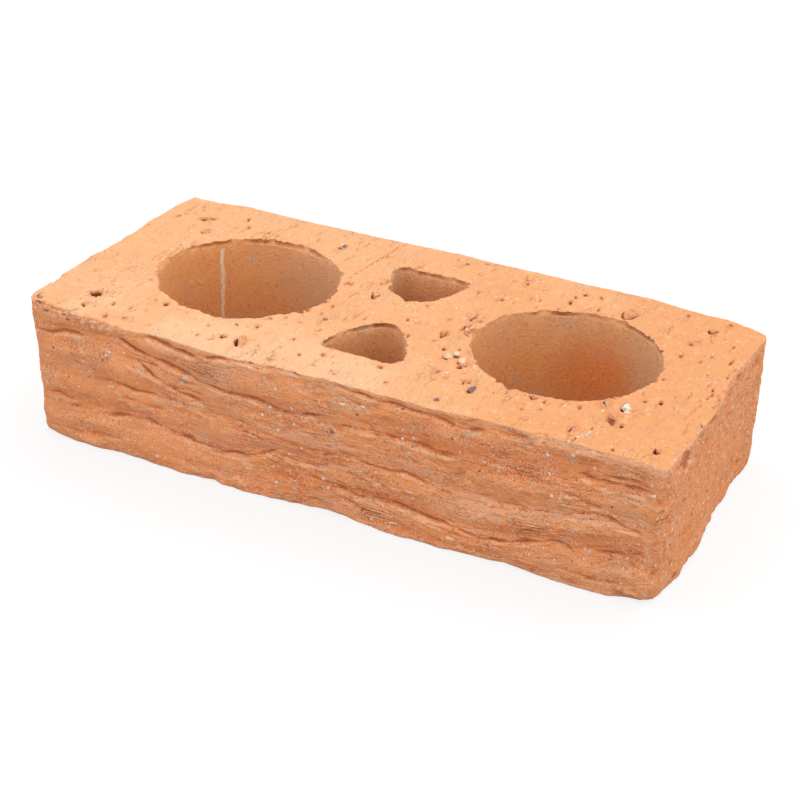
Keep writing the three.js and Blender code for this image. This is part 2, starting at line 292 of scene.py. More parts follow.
# Finely lined patches, and brown crumbling ones: place along the face and up it, and half sizes.
LINED_PATCHES = (
    (67.5, 38, 5, 2.5), (59, 6, 6, 2), (63, 48.8, 6, 1.6), (105, 19, 6, 2.5), (-44, 41, 7, 4.5),
    (69, 18, 6, 3.5), (19, 7, 9, 3),
)
CRUMBLED_PATCHES = (
    (-84, 46.8, 9, 3), (110, 7.5, 3, 3), (-52, 46, 2, 0.8), (-81, 36, 2, 2.2), (100.5, 2.5, 2, 2),
    (-28, 1.8, 1.2, 1.0), (109.5, 27, 1.8, 5), (109, 17, 2.2, 4),
)

# Pale rubbed patches, given in the same way.
PALE_PATCHES = (
    (-25, 22.5, 3, 2.5), (-29, 10.2, 3.5, 1.4), (-4, 33.8, 6, 1.6), (-31, 46.9, 8, 0.8),
    (-51, 36.2, 2.5, 1.2), (8, 19.8, 7, 1), (110, 8, 3, 3), (104, 5.5, 5, 2), (44, 5.3, 4, 1.5),
    (-86, 47.5, 9, 1.6), (69.5, 48.2, 3.2, 1.6),
)


def fold_line(along, height, places):
    """Points near a line, how far above it they lie and how far it has died out there."""
    stations = np.array(places, float)
    inside = np.minimum(along - stations[0, 0], stations[-1, 0] - along)
    near = np.nonzero(inside > -3.0)[0]
    line = np.interp(along[near], stations[:, 0], stations[:, 1])
    rise = height[near] - line
    close = np.abs(rise) < 12.0
    return near[close], rise[close], smooth(-2.5, 2.5, inside[near[close]])


def fold(along, height, depth, places, seed):
    """Points near a fold, how far they move out, and how deep in its groove or high on its lip they lie."""
    near, rise, fade = fold_line(along, height, places)
    wobble = line_noise(along[near], 4.0, seed)
    rise = rise + 0.35 * wobble
    deep = depth * fade * np.clip(0.9 + 1.1 * line_noise(along[near], 6.5, seed + 1), 0.15, 1.6)
    above, below = 1.3 + 1.8 * depth, 0.40 + 0.35 * depth
    slope = np.where(rise > 0, np.exp(-np.abs(rise) / above), hump(rise, below))
    lip = hump(rise + 2.6 * below, 1.6 * below)
    crest = hump(rise + 1.5 * below, 0.35)
    groove = deep * hump(rise, 0.28 + 0.10 * depth)
    return near, 0.12 * deep * lip - 0.75 * deep * slope - 0.25 * groove, groove - 0.45 * deep * crest


def flow_height(flow, along, height):
    """Level in the stack of layers, which rises and falls with the folds."""
    lines = np.array([np.interp(along, FLOW_STATIONS, heights) for level, heights in flow])
    levels = [level for level, heights in flow]
    result = np.zeros(len(along))
    for k in range(len(levels) - 1):
        share = np.clip((height - lines[k]) / (lines[k + 1] - lines[k]), 0.0, 1.0)
        result += share * (levels[k + 1] - levels[k])
    return result


def loose_folds(flow, seed, count, shortest, longest, deepest):
    """Folds drawn at random along the flow of a face."""
    random = np.random.default_rng(seed)
    made = []
    for _ in range(count):
        length = random.uniform(shortest, longest)
        start = random.uniform(-108, 108 - length)
        level, drift, sway = random.uniform(3, 47), random.uniform(-2.0, 2.0), random.uniform(0.2, 0.8)
        places = []
        for place in np.linspace(start, start + length, max(3, int(length / 5))):
            lines = [np.interp(place, FLOW_STATIONS, heights) for _, heights in flow]
            height = np.interp(level, [at for at, _ in flow], lines)
            height = height + drift * (place - start) / length + sway * math.sin(place / 4.7 + level)
            places.append((place, height))
        made.append((random.uniform(0.3, 1.0) * deepest, *places))
    return made


FRONT_FOLDS = FRONT_CREASES + tuple(loose_folds(FRONT_FLOW, 5, 120, 4, 18, 0.36))
BACK_FOLDS = (
    (1.2, (-104, 12), (-80, 11.5), (-52, 14), (-30, 12.6), (-8, 11)),
    (1.1, (-30, 24), (-5, 24.5), (20, 27), (44, 25.5), (62, 24)),
    (1.2, (36, 37.5), (60, 35.5), (82, 36.5), (106, 38)),
    (1.0, (-108, 41), (-84, 38.5), (-62, 38.8), (-40, 40)),
    *loose_folds(BACK_FLOW, 11, 22, 12, 50, 0.9),
    *loose_folds(BACK_FLOW, 12, 100, 4, 18, 0.4),
)
BACK_PADS = tuple((x, z, half, 3.0 + half / 6, 0.5) for x, z, half in (
    (-96, 26, 11), (-88, 46, 12), (-70, 20, 12), (-60, 31, 9), (-44, 6, 11), (-35, 44, 9), (-20, 17, 10),
    (-12, 33, 8), (8, 6, 12), (14, 20, 9), (26, 42, 11), (40, 12, 10), (52, 30, 9), (66, 46, 10), (72, 8, 9),
    (84, 24, 11), (98, 43, 8),
))


def pad_height(along, height, pads):
    """Domed pads, each broken off along its own ragged rim."""
    total = np.zeros(len(along))
    for x, z, half_x, half_z, proud in pads:
        near = np.nonzero((np.abs(along - x) < 1.3 * half_x) & (np.abs(height - z) < 1.3 * half_z))[0]
        share = ((along[near] - x) / half_x) ** 2 + ((height[near] - z) / half_z) ** 2
        total[near] += proud * np.maximum(0.0, 1.0 - share / 1.4) ** 1.5
    return total


def patch_share(along, height, patches):
    total = np.zeros(len(along))
    for x, z, half_x, half_z in patches:
        total = np.maximum(total, smooth(1.3, 0.6, np.hypot((along - x) / half_x, (height - z) / half_z)))
    return total


def face_relief(along, height, folds, pads, ridges, seed):
    """How far a long face stands out, and how deep in a groove or high on a crest each point lies."""
    total = pad_height(along, height, pads)
    groove, crest = np.zeros((2, len(along)))
    for number, (depth, *places) in enumerate(folds):
        near, move, dark = fold(along, height, depth, places, seed + 3 * number)
        total[near] += move
        groove[near] = np.maximum(groove[near], dark)
        crest[near] = np.maximum(crest[near], -dark)
    for number, (proud, half_width, *places) in enumerate(ridges):
        near, rise, fade = fold_line(along, height, places)
        rise = rise + 0.4 * line_noise(along[near], 3.0, seed + 900 + number)
        fade = fade * np.clip(0.8 + 0.9 * line_noise(along[near], 3.5, seed + 950 + number), 0.1, 1.3)
        total[near] += proud * fade * hump(rise, half_width)
        crest[near] = np.maximum(crest[near], 0.8 * fade * hump(rise, 0.45 * half_width))
    return total, groove - np.minimum(crest, 0.8)


# Marks of the right-hand end: place across and up, half sizes, depth.
END_MARKS = (
    (-36, 46.5, 4, 3, 0.9), (-5, 41, 1.3, 0.6, 0.8), (13, 11, 1.4, 2.4, 0.9), (14, 36.8, 1.8, 0.7, 0.8),
    (16.5, 35.3, 1.2, 0.6, 0.7), (8, 1.5, 2.5, 2.2, 1.0), (2, 0.5, 2, 1.5, 0.8), (-25, 0.5, 2.5, 1.4, 0.8),
    (-18, 0.5, 2, 1.2, 0.7), (-47, 30.5, 3, 0.5, 0.5), (-43, 28.7, 2.4, 0.5, 0.5), (30, 22, 2, 1, 0.4),
    (-30, 17, 3, 1, 0.4), (38, 44, 2.5, 1.5, 0.5), (-12, 47.5, 2.5, 1.4, 0.8), (0, 45.5, 1.8, 0.9, 0.7),
    (7, 46.8, 1.4, 1.2, 0.7), (-24, 47.2, 1.8, 0.8, 0.6), (20, 47.0, 2.4, 1.0, 0.6),
    (-20, 38, 0.5, 3.0, 0.5), (-44, 18, 0.5, 3.4, 0.5), (-38, 10, 0.6, 3.0, 0.6), (-8, 25, 0.5, 2.8, 0.5),
    (24, 14, 0.6, 3.0, 0.6), (34, 8, 1.6, 1.6, 0.7), (-33, 3, 2.0, 1.2, 0.7), (44, 3, 1.8, 1.6, 0.8),
)


def end_relief(points, seed, marks):
    """How far an end stands out, and how deep each point lies in one of its marks."""
    total = 0.34 * rough(points, (13, 13, 9), seed, 3) + 0.24 * rough(points, 2.4, seed + 5, 2)
    dark = np.zeros(len(points))
    for y, z, half_y, half_z, depth in marks:
        share = np.hypot((points[:, 1] - y) / half_y, (points[:, 2] - z) / half_z)
        share = smooth(1.2, 0.5, share + 0.5 * rough(points, 1.8, seed + 9, 2))
        total -= depth * share
        dark = np.maximum(dark, depth * share)
    return total, dark


def random_marks(seed, count):
    """Small pits of an end."""
    random = np.random.default_rng(seed)
    limits = ((-48, 48), (3, 47), (0.4, 1.6), (0.3, 0.7), (0.3, 0.8))
    return tuple(tuple(random.uniform(low, high) for low, high in limits) for _ in range(count))


RIGHT_MARKS = END_MARKS + random_marks(21, 30)
LEFT_MARKS = random_marks(22, 45)


def terraces(layered, level):
    """Thin plates torn one over the other: how far each point stands out, and its groove or crest."""
    phase = level / 4.6 + 1.0 * rough(layered, (34, 34, 9), 71, 3)
    share = phase - np.floor(phase)
    strength = np.clip(0.25 + 1.2 * rough(layered, (13, 13, 5), 75, 2), 0.0, 1.0)
    strength = strength * np.clip(0.7 + 1.1 * noise(layered, (6, 6, 50), 78), 0.15, 1.3)
    strength = strength * (0.55 + 0.45 * smooth(-60.0, -10.0, layered[:, 0]))
    plate = smooth(0.0, 0.13, share) * (1.0 - share)
    dark = hump(np.minimum(1.0 - share, share + 0.04), 0.075)
    return 0.54 * strength * (plate - 0.42), strength * (0.52 * dark - 0.42 * hump(share - 0.17, 0.055))


# How far the broad waves of the front climb over its layers, at places along it.
WAVE_CLIMB = (
    (-110, 0.0), (-72, 1.8), (-35, -1.7), (10, 4.2), (50, 8.0), (110, 9.2),
)

# Noises of the skin: how proud in millimetres, the grain along, across and up the brick, and the seed.
LUMPS = (0.26, (17, 17, 7), 50)
KNOBS = (0.08, (4, 4, 2.2), 55)
WAVES = (0.62, (48, 48, 6.5), 90)
TEARS = (0.12, (9, 9, 3.2), 57)
SAND = (0.09, (1.9, 1.9, 1.3), 60)
END_TEARS = (0.16, (3.2, 3.2, 6.5), 58)
END_SAND = (0.10, 1.5, 59)

# Rise between the fine lines of a lined patch, and how proud they and the pale patches are.
LINE_RISE = 1.15
LINE_PROUD = 0.16
PALE_PROUD = 0.25

# The lower front right corner in plan, round which the clay has crumbled.
CORNER = (110.5, -51.5)


def rough_layer(points, proud, grain, seed):
    return proud * rough(points, grain, seed, 2)


def torn_layer(points, proud, grain, seed):
    """Rounded ground between sharp furrows."""
    return proud * (0.4 - np.abs(noise(points, grain, seed)) ** 0.6)


def climbing_waves(layered, proud, grain, seed):
    """Broad waves of the long faces, which rise over the layers along the front."""
    climb = np.interp(layered[:, 0], *np.array(WAVE_CLIMB).T)
    return proud * rough(layered - np.c_[np.zeros((len(climb), 2)), climb], grain, seed, 2, 0.45)


def face_marks(points, seen, front, back, ends):
    """How far the folds and marks of all faces stand out, and how deep in a groove each point lies."""
    x, z = points[:, 0], points[:, 2]
    total, groove = np.zeros((2, len(points)))
    for share, height, folds, pads, ridges, seed in (
        (front, seen, FRONT_FOLDS, FRONT_PADS, FRONT_RIDGES, 200),
        (back, z, BACK_FOLDS, BACK_PADS, (), 500),
    ):
        near = np.nonzero(share > 0.02)[0]
        move, dark = face_relief(x[near], height[near], folds, pads, ridges, seed)
        total[near] += share[near] * move
        groove[near] += share[near] * dark
    for side, marks, seed in ((1, RIGHT_MARKS, 70), (-1, LEFT_MARKS, 80)):
        near = np.nonzero((ends > 0.02) & (x * side > 0))[0]
        move, dark = end_relief(points[near], seed, marks)
        total[near] += ends[near] * move
        groove[near] += ends[near] * dark
    return total, groove


def add_texture(total, points, layered, ends):
    """Adds the waves, lumps and tears of all faces. Returns the grooves between the torn plates."""
    long_faces = 1.0 - 0.8 * ends
    total += long_faces * (rough_layer(layered, *LUMPS) + rough_layer(layered, *KNOBS))
    total += climbing_waves(layered, long_faces * WAVES[0], *WAVES[1:])
    total += torn_layer(layered, long_faces * TEARS[0], *TEARS[1:])
    total += SAND[0] * noise(layered, *SAND[1:])
    move, dark = terraces(layered, layered[:, 2])
    total += (1.0 - ends) * move
    total += ends * (torn_layer(points, *END_TEARS) + END_SAND[0] * noise(points, *END_SAND[1:]))
    return (1.0 - ends) * dark


def add_patches(total, groove, points, layered, seen, front):
    """Adds the patches of the front face and the crumbled lower corner.

    Returns the share of fine lining, or of pads as less than nothing, and the share of crumbling.
    """
    x, y, z = points.T
    lined = front * patch_share(x, seen, LINED_PATCHES)
    on_pad = front * np.minimum(2.2 * pad_height(x, seen, FRONT_PADS), 1.0)
    phase = 2 * math.pi * (layered[:, 2] + 0.5 * noise(layered, 6, 61)) / LINE_RISE
    total += lined * LINE_PROUD * np.sin(phase)
    crumbled = front * patch_share(x, seen, CRUMBLED_PATCHES)
    total += crumbled * (0.40 * rough(points, 2.2, 62, 2) - 0.25)
    crumbled = crumbled * np.clip(0.6 + rough(points, 2.0, 64, 2), 0.0, 1.0)
    pale = front * patch_share(x, seen, PALE_PATCHES)
    pale = pale * np.clip(0.4 + 1.6 * rough(layered, (2.6, 2.6, 1.4), 63, 2), 0, 1)
    total += PALE_PROUD * pale
    groove -= 0.8 * pale
    wide, narrow = (hump(x - CORNER[0], reach) * hump(y - CORNER[1], reach) for reach in (6.0, 4.0))
    total += (narrow * 0.9 + 0.7 * (wide * smooth(50.0, 20.0, z))) * rough(points, 2.6, 66, 2)
    return lined - on_pad * (lined < 0.1), crumbled


def skin_relief(points, out_y):
    """How far the finish stands out of the smoothed skin, and the marks that its colour follows.

    The marks are the depth in a groove, the share of fine lining and of crumbling, and the level
    in the stack of layers.
    """
    x, y, z = points.T
    front, back, ends = face_shares(out_y)
    seen = seen_height(points)
    total, groove = face_marks(points, seen, front, back, ends)
    level = front * flow_height(FRONT_FLOW, x, seen) + back * flow_height(BACK_FLOW, x, z) + ends * z
    layered = np.c_[x, y, level]
    groove += add_texture(total, points, layered, ends)
    lined, crumbled = add_patches(total, groove, points, layered, seen, front)
    return total, groove, lined, crumbled, level


# Where the bed ends in front and behind: place along it and place across it.
FRONT_EDGE = (
    (-100, -53.0), (-90, -52.6), (-78, -53.0), (-72, -53.8), (-66, -53.0), (-58, -52.6), (-45, -53.6),
    (-35, -54.0), (-25, -53.2), (-20, -52.1), (-5, -51.8), (-2, -50.9), (5, -51.6), (38, -51.6),
    (48, -50.3), (66, -50.2), (75, -50.0), (90, -50.0), (105, -50.5),
)
BACK_EDGE = (
    (-100, 49.1), (-96, 49.3), (-90, 50.9), (-86, 51.5), (-60, 50.9), (-50, 51.5), (-33, 51.6), (-18, 52.6),
    (0, 53.8), (7, 53.2), (30, 53.7), (45, 53.2), (66, 54), (72, 53.7), (80, 52.7), (89, 51.9), (96, 52.3),
    (100, 51.4), (104, 50.3),
)

# Where the bed ends on the right: place across it and place along it.
END_EDGE = (
    (-47, 111.2), (-40, 111.2), (-30, 112.0), (-15, 112.2), (0, 112.0), (4.5, 111.3), (7.5, 110.5),
    (20, 110.3), (26, 111.0), (40, 111.4),
)

# Height that the lower edge of the front shows, at places along it.
FOOT_LINE = (
    (-110, 3.2), (-105, 3.0), (-100, 2.0), (-88, 1.0), (-77, 2.0), (-60, 1.2), (-52, 1.0), (-42, 2.0),
    (-38, 1.0), (-20, 1.4), (-10, 2.3), (0, 3.0), (6, 2.8), (12, 1.7), (22, 1.2), (40, 1.5), (52, 2.3),
    (62, 2.9), (80, 1.5), (97, 1.9), (101, 2.8), (108, 4.0),
)

# What the rounding of the lower arris adds to that height.
FOOT_TURN = 1.2

# How far the front left corner stands out beyond the smooth one, at heights on it.
CORNER_BULGE = (
    (0, 1.0), (5, 0.4), (12, 0.9), (20, 1.4), (26, 0.8), (32, -0.8), (38, -0.5), (44, -0.3), (50, 0.0),
)

# Chips of the upper arris: place along it, half length, reach inward and reach down.
FRONT_CHIPS = (
    (-101.5, 9.5, 2.6, 2.8), (-86, 4.0, 1.5, 1.1), (-76, 1.5, 1.2, 1.2), (-62, 2.5, 0.8, 0.7),
    (-50, 1.5, 0.7, 0.8), (-38, 3, 0.9, 0.8), (-2, 2.0, 1.1, 1.0), (6.8, 1.0, 0.9, 0.9),
    (24, 2.0, 0.6, 0.6), (43, 5, 0.7, 0.6), (70.6, 2.6, 1.5, 2.2), (81, 1.4, 1.1, 1.0), (91, 2, 0.7, 0.6),
    (99.5, 1.6, 0.9, 0.8), (107, 2.5, 1.0, 0.9),
)
BACK_CHIPS = (
    (-92, 3, 0.9, 0.8), (-57, 4, 0.7, 0.6), (-12, 2.5, 0.8, 0.7), (21, 3, 0.6, 0.5), (57, 1.5, 0.8, 0.7),
    (88, 3.5, 0.8, 0.7),
)
END_CHIPS = (
    (-44, 1.2, 0.9, 0.9), (-33, 4, 1.6, 1.6), (-26, 1.0, 1.0, 0.9), (-21, 1.2, 1.1, 1.0),
    (-14, 0.9, 0.8, 0.9), (-7, 1.3, 1.2, 1.2), (3.5, 2, 1.3, 1.2), (10, 1.0, 0.9, 1.0), (19, 1.4, 0.9, 0.8),
    (28, 2.5, 1.0, 0.9), (44, 1.5, 1.0, 0.8),
)


def chip_reach(place, chips, wear, seed):
    """Inward and downward reach of the chips at each place along an arris."""
    inward = wear * (0.30 + 0.25 * line_noise(place, 3.0, seed))
    down = wear * (0.25 + 0.20 * line_noise(place, 2.6, seed + 1))
    for middle, half, reach_in, reach_down in chips:
        share = smooth(1.15, 0.55, np.abs(place - middle) / half + 0.15 * line_noise(place, 1.2, seed + 2))
        inward = np.maximum(inward, share * reach_in)
        down = np.maximum(down, share * reach_down)
    return np.maximum(inward, 0.05), np.maximum(down, 0.05)


# ---------------------------------------------------------------- relief of the beds and the cores

# Pits of the upper bed: place along and across, half sizes along and across, depth, lean in degrees.
PITS = (
    (-94.2, -36.6, 2.1, 2.1, 2.0, 0), (-70.2, -32.2, 0.9, 0.9, 1.0, 0), (-104.2, -21.8, 0.6, 0.8, 0.5, 0),
    (-84.8, -19, 0.7, 0.7, 0.5, 0), (-82.8, -48.8, 0.6, 1.4, 0.9, 10), (-76.7, -46.7, 0.8, 0.8, 0.9, 0),
    (-85.2, -40.2, 0.6, 1.0, 0.7, 10), (-78.8, -39.8, 0.6, 1.3, 0.5, 0), (-73.5, -38.8, 0.5, 0.6, 0.4, 0),
    (-108.5, -48, 0.8, 1.2, 0.7, 0), (-22, -5.5, 0.6, 1.2, 0.8, 15), (-25.7, -3.8, 0.9, 1.1, 0.7, 0),
    (-22.7, -12, 0.5, 0.8, 0.6, 15), (-19.8, -15, 0.9, 0.8, 1.2, 0), (-30.5, -21.3, 0.5, 0.6, 0.5, 0),
    (-25.7, -21.5, 0.5, 0.6, 0.5, 20), (-34.7, -24.6, 0.7, 0.6, 0.7, 0), (-36.3, -31, 0.5, 1.1, 0.9, 25),
    (-50.5, -38.2, 0.6, 0.6, 0.7, 0), (-50.2, -45.5, 0.5, 0.7, 0.7, 10), (-22, -32.6, 0.5, 0.9, 0.7, 20),
    (-15.5, -41, 0.5, 0.9, 0.8, 20), (-23, -39.9, 0.4, 0.6, 0.5, 10), (-8, -33.2, 0.8, 0.5, 0.5, 0),
    (-8.7, -8.5, 0.4, 1.3, 0.5, 0), (-3.5, -40.7, 0.5, 0.5, 0.4, 0), (-21.9, -48.6, 1.0, 0.6, 0.5, 0),
    (3.8, -2, 0.6, 0.8, 0.8, 0), (8.8, -12, 0.6, 1.0, 1.0, 15), (22.7, -14.7, 0.8, 0.9, 0.9, 0),
    (28.4, -17.7, 0.9, 0.8, 1.3, 0), (25.6, -20.4, 0.7, 1.3, 1.0, 50), (32.1, -23.7, 0.9, 0.9, 1.8, 0),
    (33.3, -22, 0.5, 0.9, 0.8, 0), (35.4, -26.7, 0.5, 0.5, 0.4, 0), (38.6, -31.3, 1.0, 0.6, 0.5, 0),
    (31.4, -32, 0.5, 1.2, 0.4, 0), (48, -33.3, 0.4, 0.6, 0.5, 0), (10.5, -35.8, 0.7, 0.8, 1.0, 0),
    (16.3, -43.8, 0.7, 0.8, 0.8, 0), (-1.8, -46, 0.5, 0.7, 0.5, 0), (-0.2, -47.2, 0.6, 0.6, 0.5, 0),
    (95.6, -13.8, 0.6, 1.3, 1.2, 12), (91, -15.5, 0.6, 0.9, 0.8, 0), (81.3, -18.2, 1.0, 0.9, 1.0, 0),
    (85.9, -31.0, 1.5, 3.3, 0.75, 34), (89.8, -33.3, 0.6, 1.1, 1.2, 0), (64.2, -31.4, 0.6, 1.0, 0.8, 10),
    (74.7, -29, 0.6, 1.2, 0.9, 15), (59.5, -38.6, 0.6, 0.8, 0.5, 0), (77.2, -43, 0.4, 2.0, 0.7, -5),
    (92.3, -48, 0.6, 1.0, 0.9, 15), (107.6, -27, 0.8, 1.4, 0.4, 0), (-94, 33, 1.7, 1.0, 0.9, 10),
    (-91.5, 35, 1.4, 0.9, 0.8, 0), (-80, 41, 0.6, 1.4, 0.8, 15), (-76.5, 34.8, 0.6, 1.3, 0.7, 10),
    (-68.2, 34.5, 0.5, 0.9, 0.6, 10), (-66.8, 29, 0.6, 1.2, 0.8, 10), (-103.5, 31.3, 0.7, 1.1, 0.6, 0),
    (-50.2, 38.2, 0.5, 1.1, 0.6, 10), (-40.4, 36.2, 1.2, 0.7, 1.0, -20), (-23, 38.2, 0.5, 0.8, 0.6, 10),
    (-20, 33.6, 0.5, 0.6, 0.4, 0), (-9.2, 36.2, 0.5, 0.7, 0.5, 0), (-25.4, 12, 0.8, 1.0, 1.2, 10),
    (-24, 12.3, 0.4, 1.1, 0.9, 0), (-15.2, 17.7, 0.5, 0.8, 0.7, 15), (3.7, 47, 0.7, 0.9, 0.8, 0),
    (9.7, 50.5, 1.0, 0.6, 0.6, 0), (27.8, 43, 0.6, 1.1, 0.9, 0), (26.8, 45.8, 0.4, 0.7, 0.5, 0),
    (22.9, 42.7, 0.4, 0.7, 0.5, 0), (33.3, 32.8, 0.4, 1.3, 0.5, 10), (36.4, 33.5, 0.4, 1.1, 0.5, 0),
    (36.7, 28.6, 0.4, 0.8, 0.6, 10), (48.5, 45, 1.0, 1.0, 0.8, 0), (46, 37, 0.6, 1.4, 0.9, 10),
    (54, 45.5, 0.6, 1.2, 0.8, 15), (15.8, 28.7, 0.5, 1.0, 0.7, 15), (25, 27.3, 0.8, 0.9, 1.0, 10),
    (22.2, 10, 0.6, 2.6, 1.0, -6), (25.3, 9, 0.7, 0.7, 0.6, 0), (23.2, 3, 0.7, 3.4, 0.6, -8),
    (25.6, 2, 0.9, 2.2, 0.5, 10), (5.3, 10.3, 0.4, 1.0, 0.7, 15), (15.8, 5, 0.7, 0.9, 0.9, 0),
    (56.2, 36.8, 0.4, 1.1, 0.8, 10), (84, 48, 0.7, 1.1, 0.7, 0), (98.5, 47.8, 0.7, 1.0, 1.0, 0),
    (91.3, 28.3, 0.8, 1.0, 0.9, 10), (92.5, 31, 1.0, 0.8, 0.6, 0), (91, 19.3, 0.6, 1.5, 0.7, 0),
    (97.9, 18.3, 0.4, 0.9, 0.6, 0), (100.1, 23, 0.4, 1.4, 0.6, 0), (108.5, 12, 0.4, 0.8, 0.7, 0),
    (91.1, 1.3, 0.7, 0.7, 0.9, 0), (110.8, 3.2, 0.9, 1.4, 0.8, 0), (102.5, 10.3, 0.4, 0.7, 0.5, 0),
    (108.2, -0.5, 0.7, 0.6, 0.5, 0), (109.3, -3, 0.5, 1.0, 0.6, 0), (110.3, -5, 0.6, 0.8, 0.5, 0),
    (109.8, -8.5, 0.5, 0.9, 0.5, 0), (105.3, -6.6, 0.6, 0.5, 0.4, 0), (93.2, 32, 0.4, 1.0, 0.4, 0),
    (40.2, -29, 0.5, 0.4, 0.5, 0), (41.2, -30.8, 0.7, 0.4, 0.5, -20),
)

# Grooves pushed up before stones by the cutting wire: half width, depth, then places along and across.
GROOVES = (
    (0.7, 1.6, (103.3, -41), (104, -43.3), (105.3, -43)),
    (0.55, 1.0, (-43.3, -42), (-42.5, -43), (-41.5, -42)),
    (0.6, 1.7, (-37.8, -41.3), (-36.9, -43.8), (-35.5, -46)), (0.7, 1.2, (-9.5, -36.5), (-8.3, -38.5)),
    (0.4, 0.9, (17.4, -5), (18.5, -7.8), (19.5, -4.5)), (0.5, 1.1, (-15, 10.5), (-13.2, 6.3), (-12.2, 9.8)),
    (0.5, 1.2, (64.2, 39), (64.8, 36), (66.2, 34.8), (68, 36.2), (69.3, 39.5)),
    (0.65, 1.8, (93.2, 41.3), (94.5, 39.3), (96.3, 41.6)),
    (0.6, 1.0, (58.5, -30), (60, -31.3), (61.3, -30.3)),
    (0.5, 0.9, (110, -20.5), (110.7, -21.3), (111.4, -20.3)), (0.6, 1.0, (-94.2, -44.8), (-92.3, -46.6)),
    (0.5, 0.9, (-89.5, 23.6), (-88.5, 22.8), (-87.6, 23.4)),
    (0.5, 1.1, (40.8, -33.2), (40.9, -36.5), (41.8, -37.3)),
    (0.45, 1.0, (30.5, -18.2), (30.6, -21.4), (31.4, -22)),
    (0.6, 1.3, (86.3, -19.6), (86.6, -23.8), (87.8, -25.4)),
    (0.4, 0.9, (80.1, -20.8), (80.4, -23), (81.4, -24.2)),
    (0.4, 0.8, (-29.5, -9), (-29.2, -11), (-28.2, -11.4)), (0.4, 0.9, (45.5, 43), (46.5, 40.5)),
    (0.22, 0.5, (-23.3, 49), (-23.6, 42), (-25.5, 28), (-27, 16)),
    (0.25, 0.9, (106.3, 3.5), (106.8, -1), (106.3, -5)), (0.22, 0.4, (106.6, -8), (106, -13), (105, -20)),
    (0.35, 1.2, (107.1, 25.4), (107, 20.5)), (0.25, 0.5, (104.3, 34.5), (103.9, 29.5)),
    (0.4, 1.3, (84.2, -31.2), (86, -33), (87.7, -34.4)), (0.35, 1.0, (22.2, 4), (21.9, -1)),
    (0.35, 0.8, (23.5, -0.5), (25, -2), (26.3, -3)), (0.35, 0.8, (37, -30.8), (37.6, -33.5)),
    (0.35, 0.8, (39, -30.3), (38.6, -32.3)), (0.2, 0.5, (80.3, -46), (80, -50), (82.3, -55)),
)

# Shallow marks that stones and clods left as they were dragged along: half width, depth, then places.
DRAGS = (
    (0.9, 0.30, (-20, -16), (-20.3, -20)), (0.7, 0.45, (-43.8, -43), (-45.3, -46.5)),
    (0.8, 0.5, (18.2, -7.8), (17.1, -11.8)), (0.9, 0.25, (-95, -13), (-96.5, -18)),
    (0.7, 0.22, (-85.5, -22), (-85.8, -28)), (0.8, 0.35, (-93, -49), (-95, -53)),
    (0.8, 0.35, (-100.5, 44.5), (-97.5, 39)), (0.8, 0.2, (-41.2, 36), (-41.6, 32)),
    (0.5, 0.35, (94.6, -14.5), (95.2, -18)), (0.6, 0.2, (3.2, 45.6), (1.5, 42)),
    (0.9, 0.22, (98.7, 46), (98.4, 42)), (0.9, 0.22, (84, 46.5), (83.6, 42)),
    (1.0, 0.35, (-94.4, -35), (-94.2, -32.6)), (2.2, 0.30, (66.5, 35), (66, 30)),
    (0.9, 0.3, (-36.3, -46), (-37, -50)), (0.8, 0.25, (103, -43.5), (102, -48)),
)

# Where a wall of a core or the mouth of one lies off the plain outline: place along and across,
# reach round it, and how far the wall moves into the clay. A minus sign fills the core.
WALL_SHIFTS = (
    (-36, -19, 9, -2.0), (-81, -18, 4, -0.9), (-70, -27, 5, -1.1), (-60, -30, 5, -1.1), (-31.5, 19, 6, 0.8),
    (33, -14, 8, -0.9), (45, -24, 8, -0.9), (62, -27, 7, -0.8), (47, 29, 6, -1.5), (38, 24, 5, -1.0),
    (-6, 10.5, 3.5, -1.7), (0.5, 11.5, 3, -1.4), (-12, 17.5, 4, 0.5), (12, -24, 5, 0.6),
)
MOUTH_CHIPS = (
    (-88.5, -7, 3.5, 1.0), (-28.2, -15.2, 1.2, 2.2), (-47.5, -31, 2.5, 0.8), (46.2, -26.5, 1.3, 1.3),
    (50.3, -29, 1.4, 1.4), (47.9, -25.6, 0.8, -0.8), (79.8, -17, 2.2, -1.3), (-87.5, 12, 2.5, 0.7),
    (66.5, 32, 2.4, 1.0), (-53, 30.5, 9, 0.8), (-64, 29.5, 6, 0.7), (40, 27, 1.5, 0.8),
    (-11.5, 20.5, 1.2, -0.8), (52, 32, 3, -0.4), (59, 33, 2, -0.4), (73, 29, 5, -0.4), (-78, 20, 7, -0.4),
    (-5, 33.8, 10, -0.3),
)

# Hollows in a wall close under the bed: place along and across, reach round it, depth. Their depth is also
# painted into the colour as the shadow under the rim.
UNDERCUTS = (
    (-82, 16, 5, 0.7), (-75, 23, 5, 0.8), (-69, 27, 5, 1.1), (-62, 30, 5, 1.1), (-55, 30.5, 5, 0.9),
    (-47, 29, 4, 0.5), (41, 28, 4, 0.7), (47, 31, 6, 1.0), (58, 33, 4, 0.8), (70, 31, 4, 1.1),
    (76, 27, 6, 1.2), (82, 21, 5, 0.9), (-11, 33.5, 5, 0.8), (-3, 34.2, 5, 0.9), (5, 34, 5, 0.7),
    (-9, 16, 3, 0.6), (-7, -13.5, 4, 1.0), (-3.5, -9.5, 3, 1.2), (0.5, -7.5, 3, 1.2), (3, -8, 3, 0.9),
    (-12.5, -27, 2.5, 0.9),
)

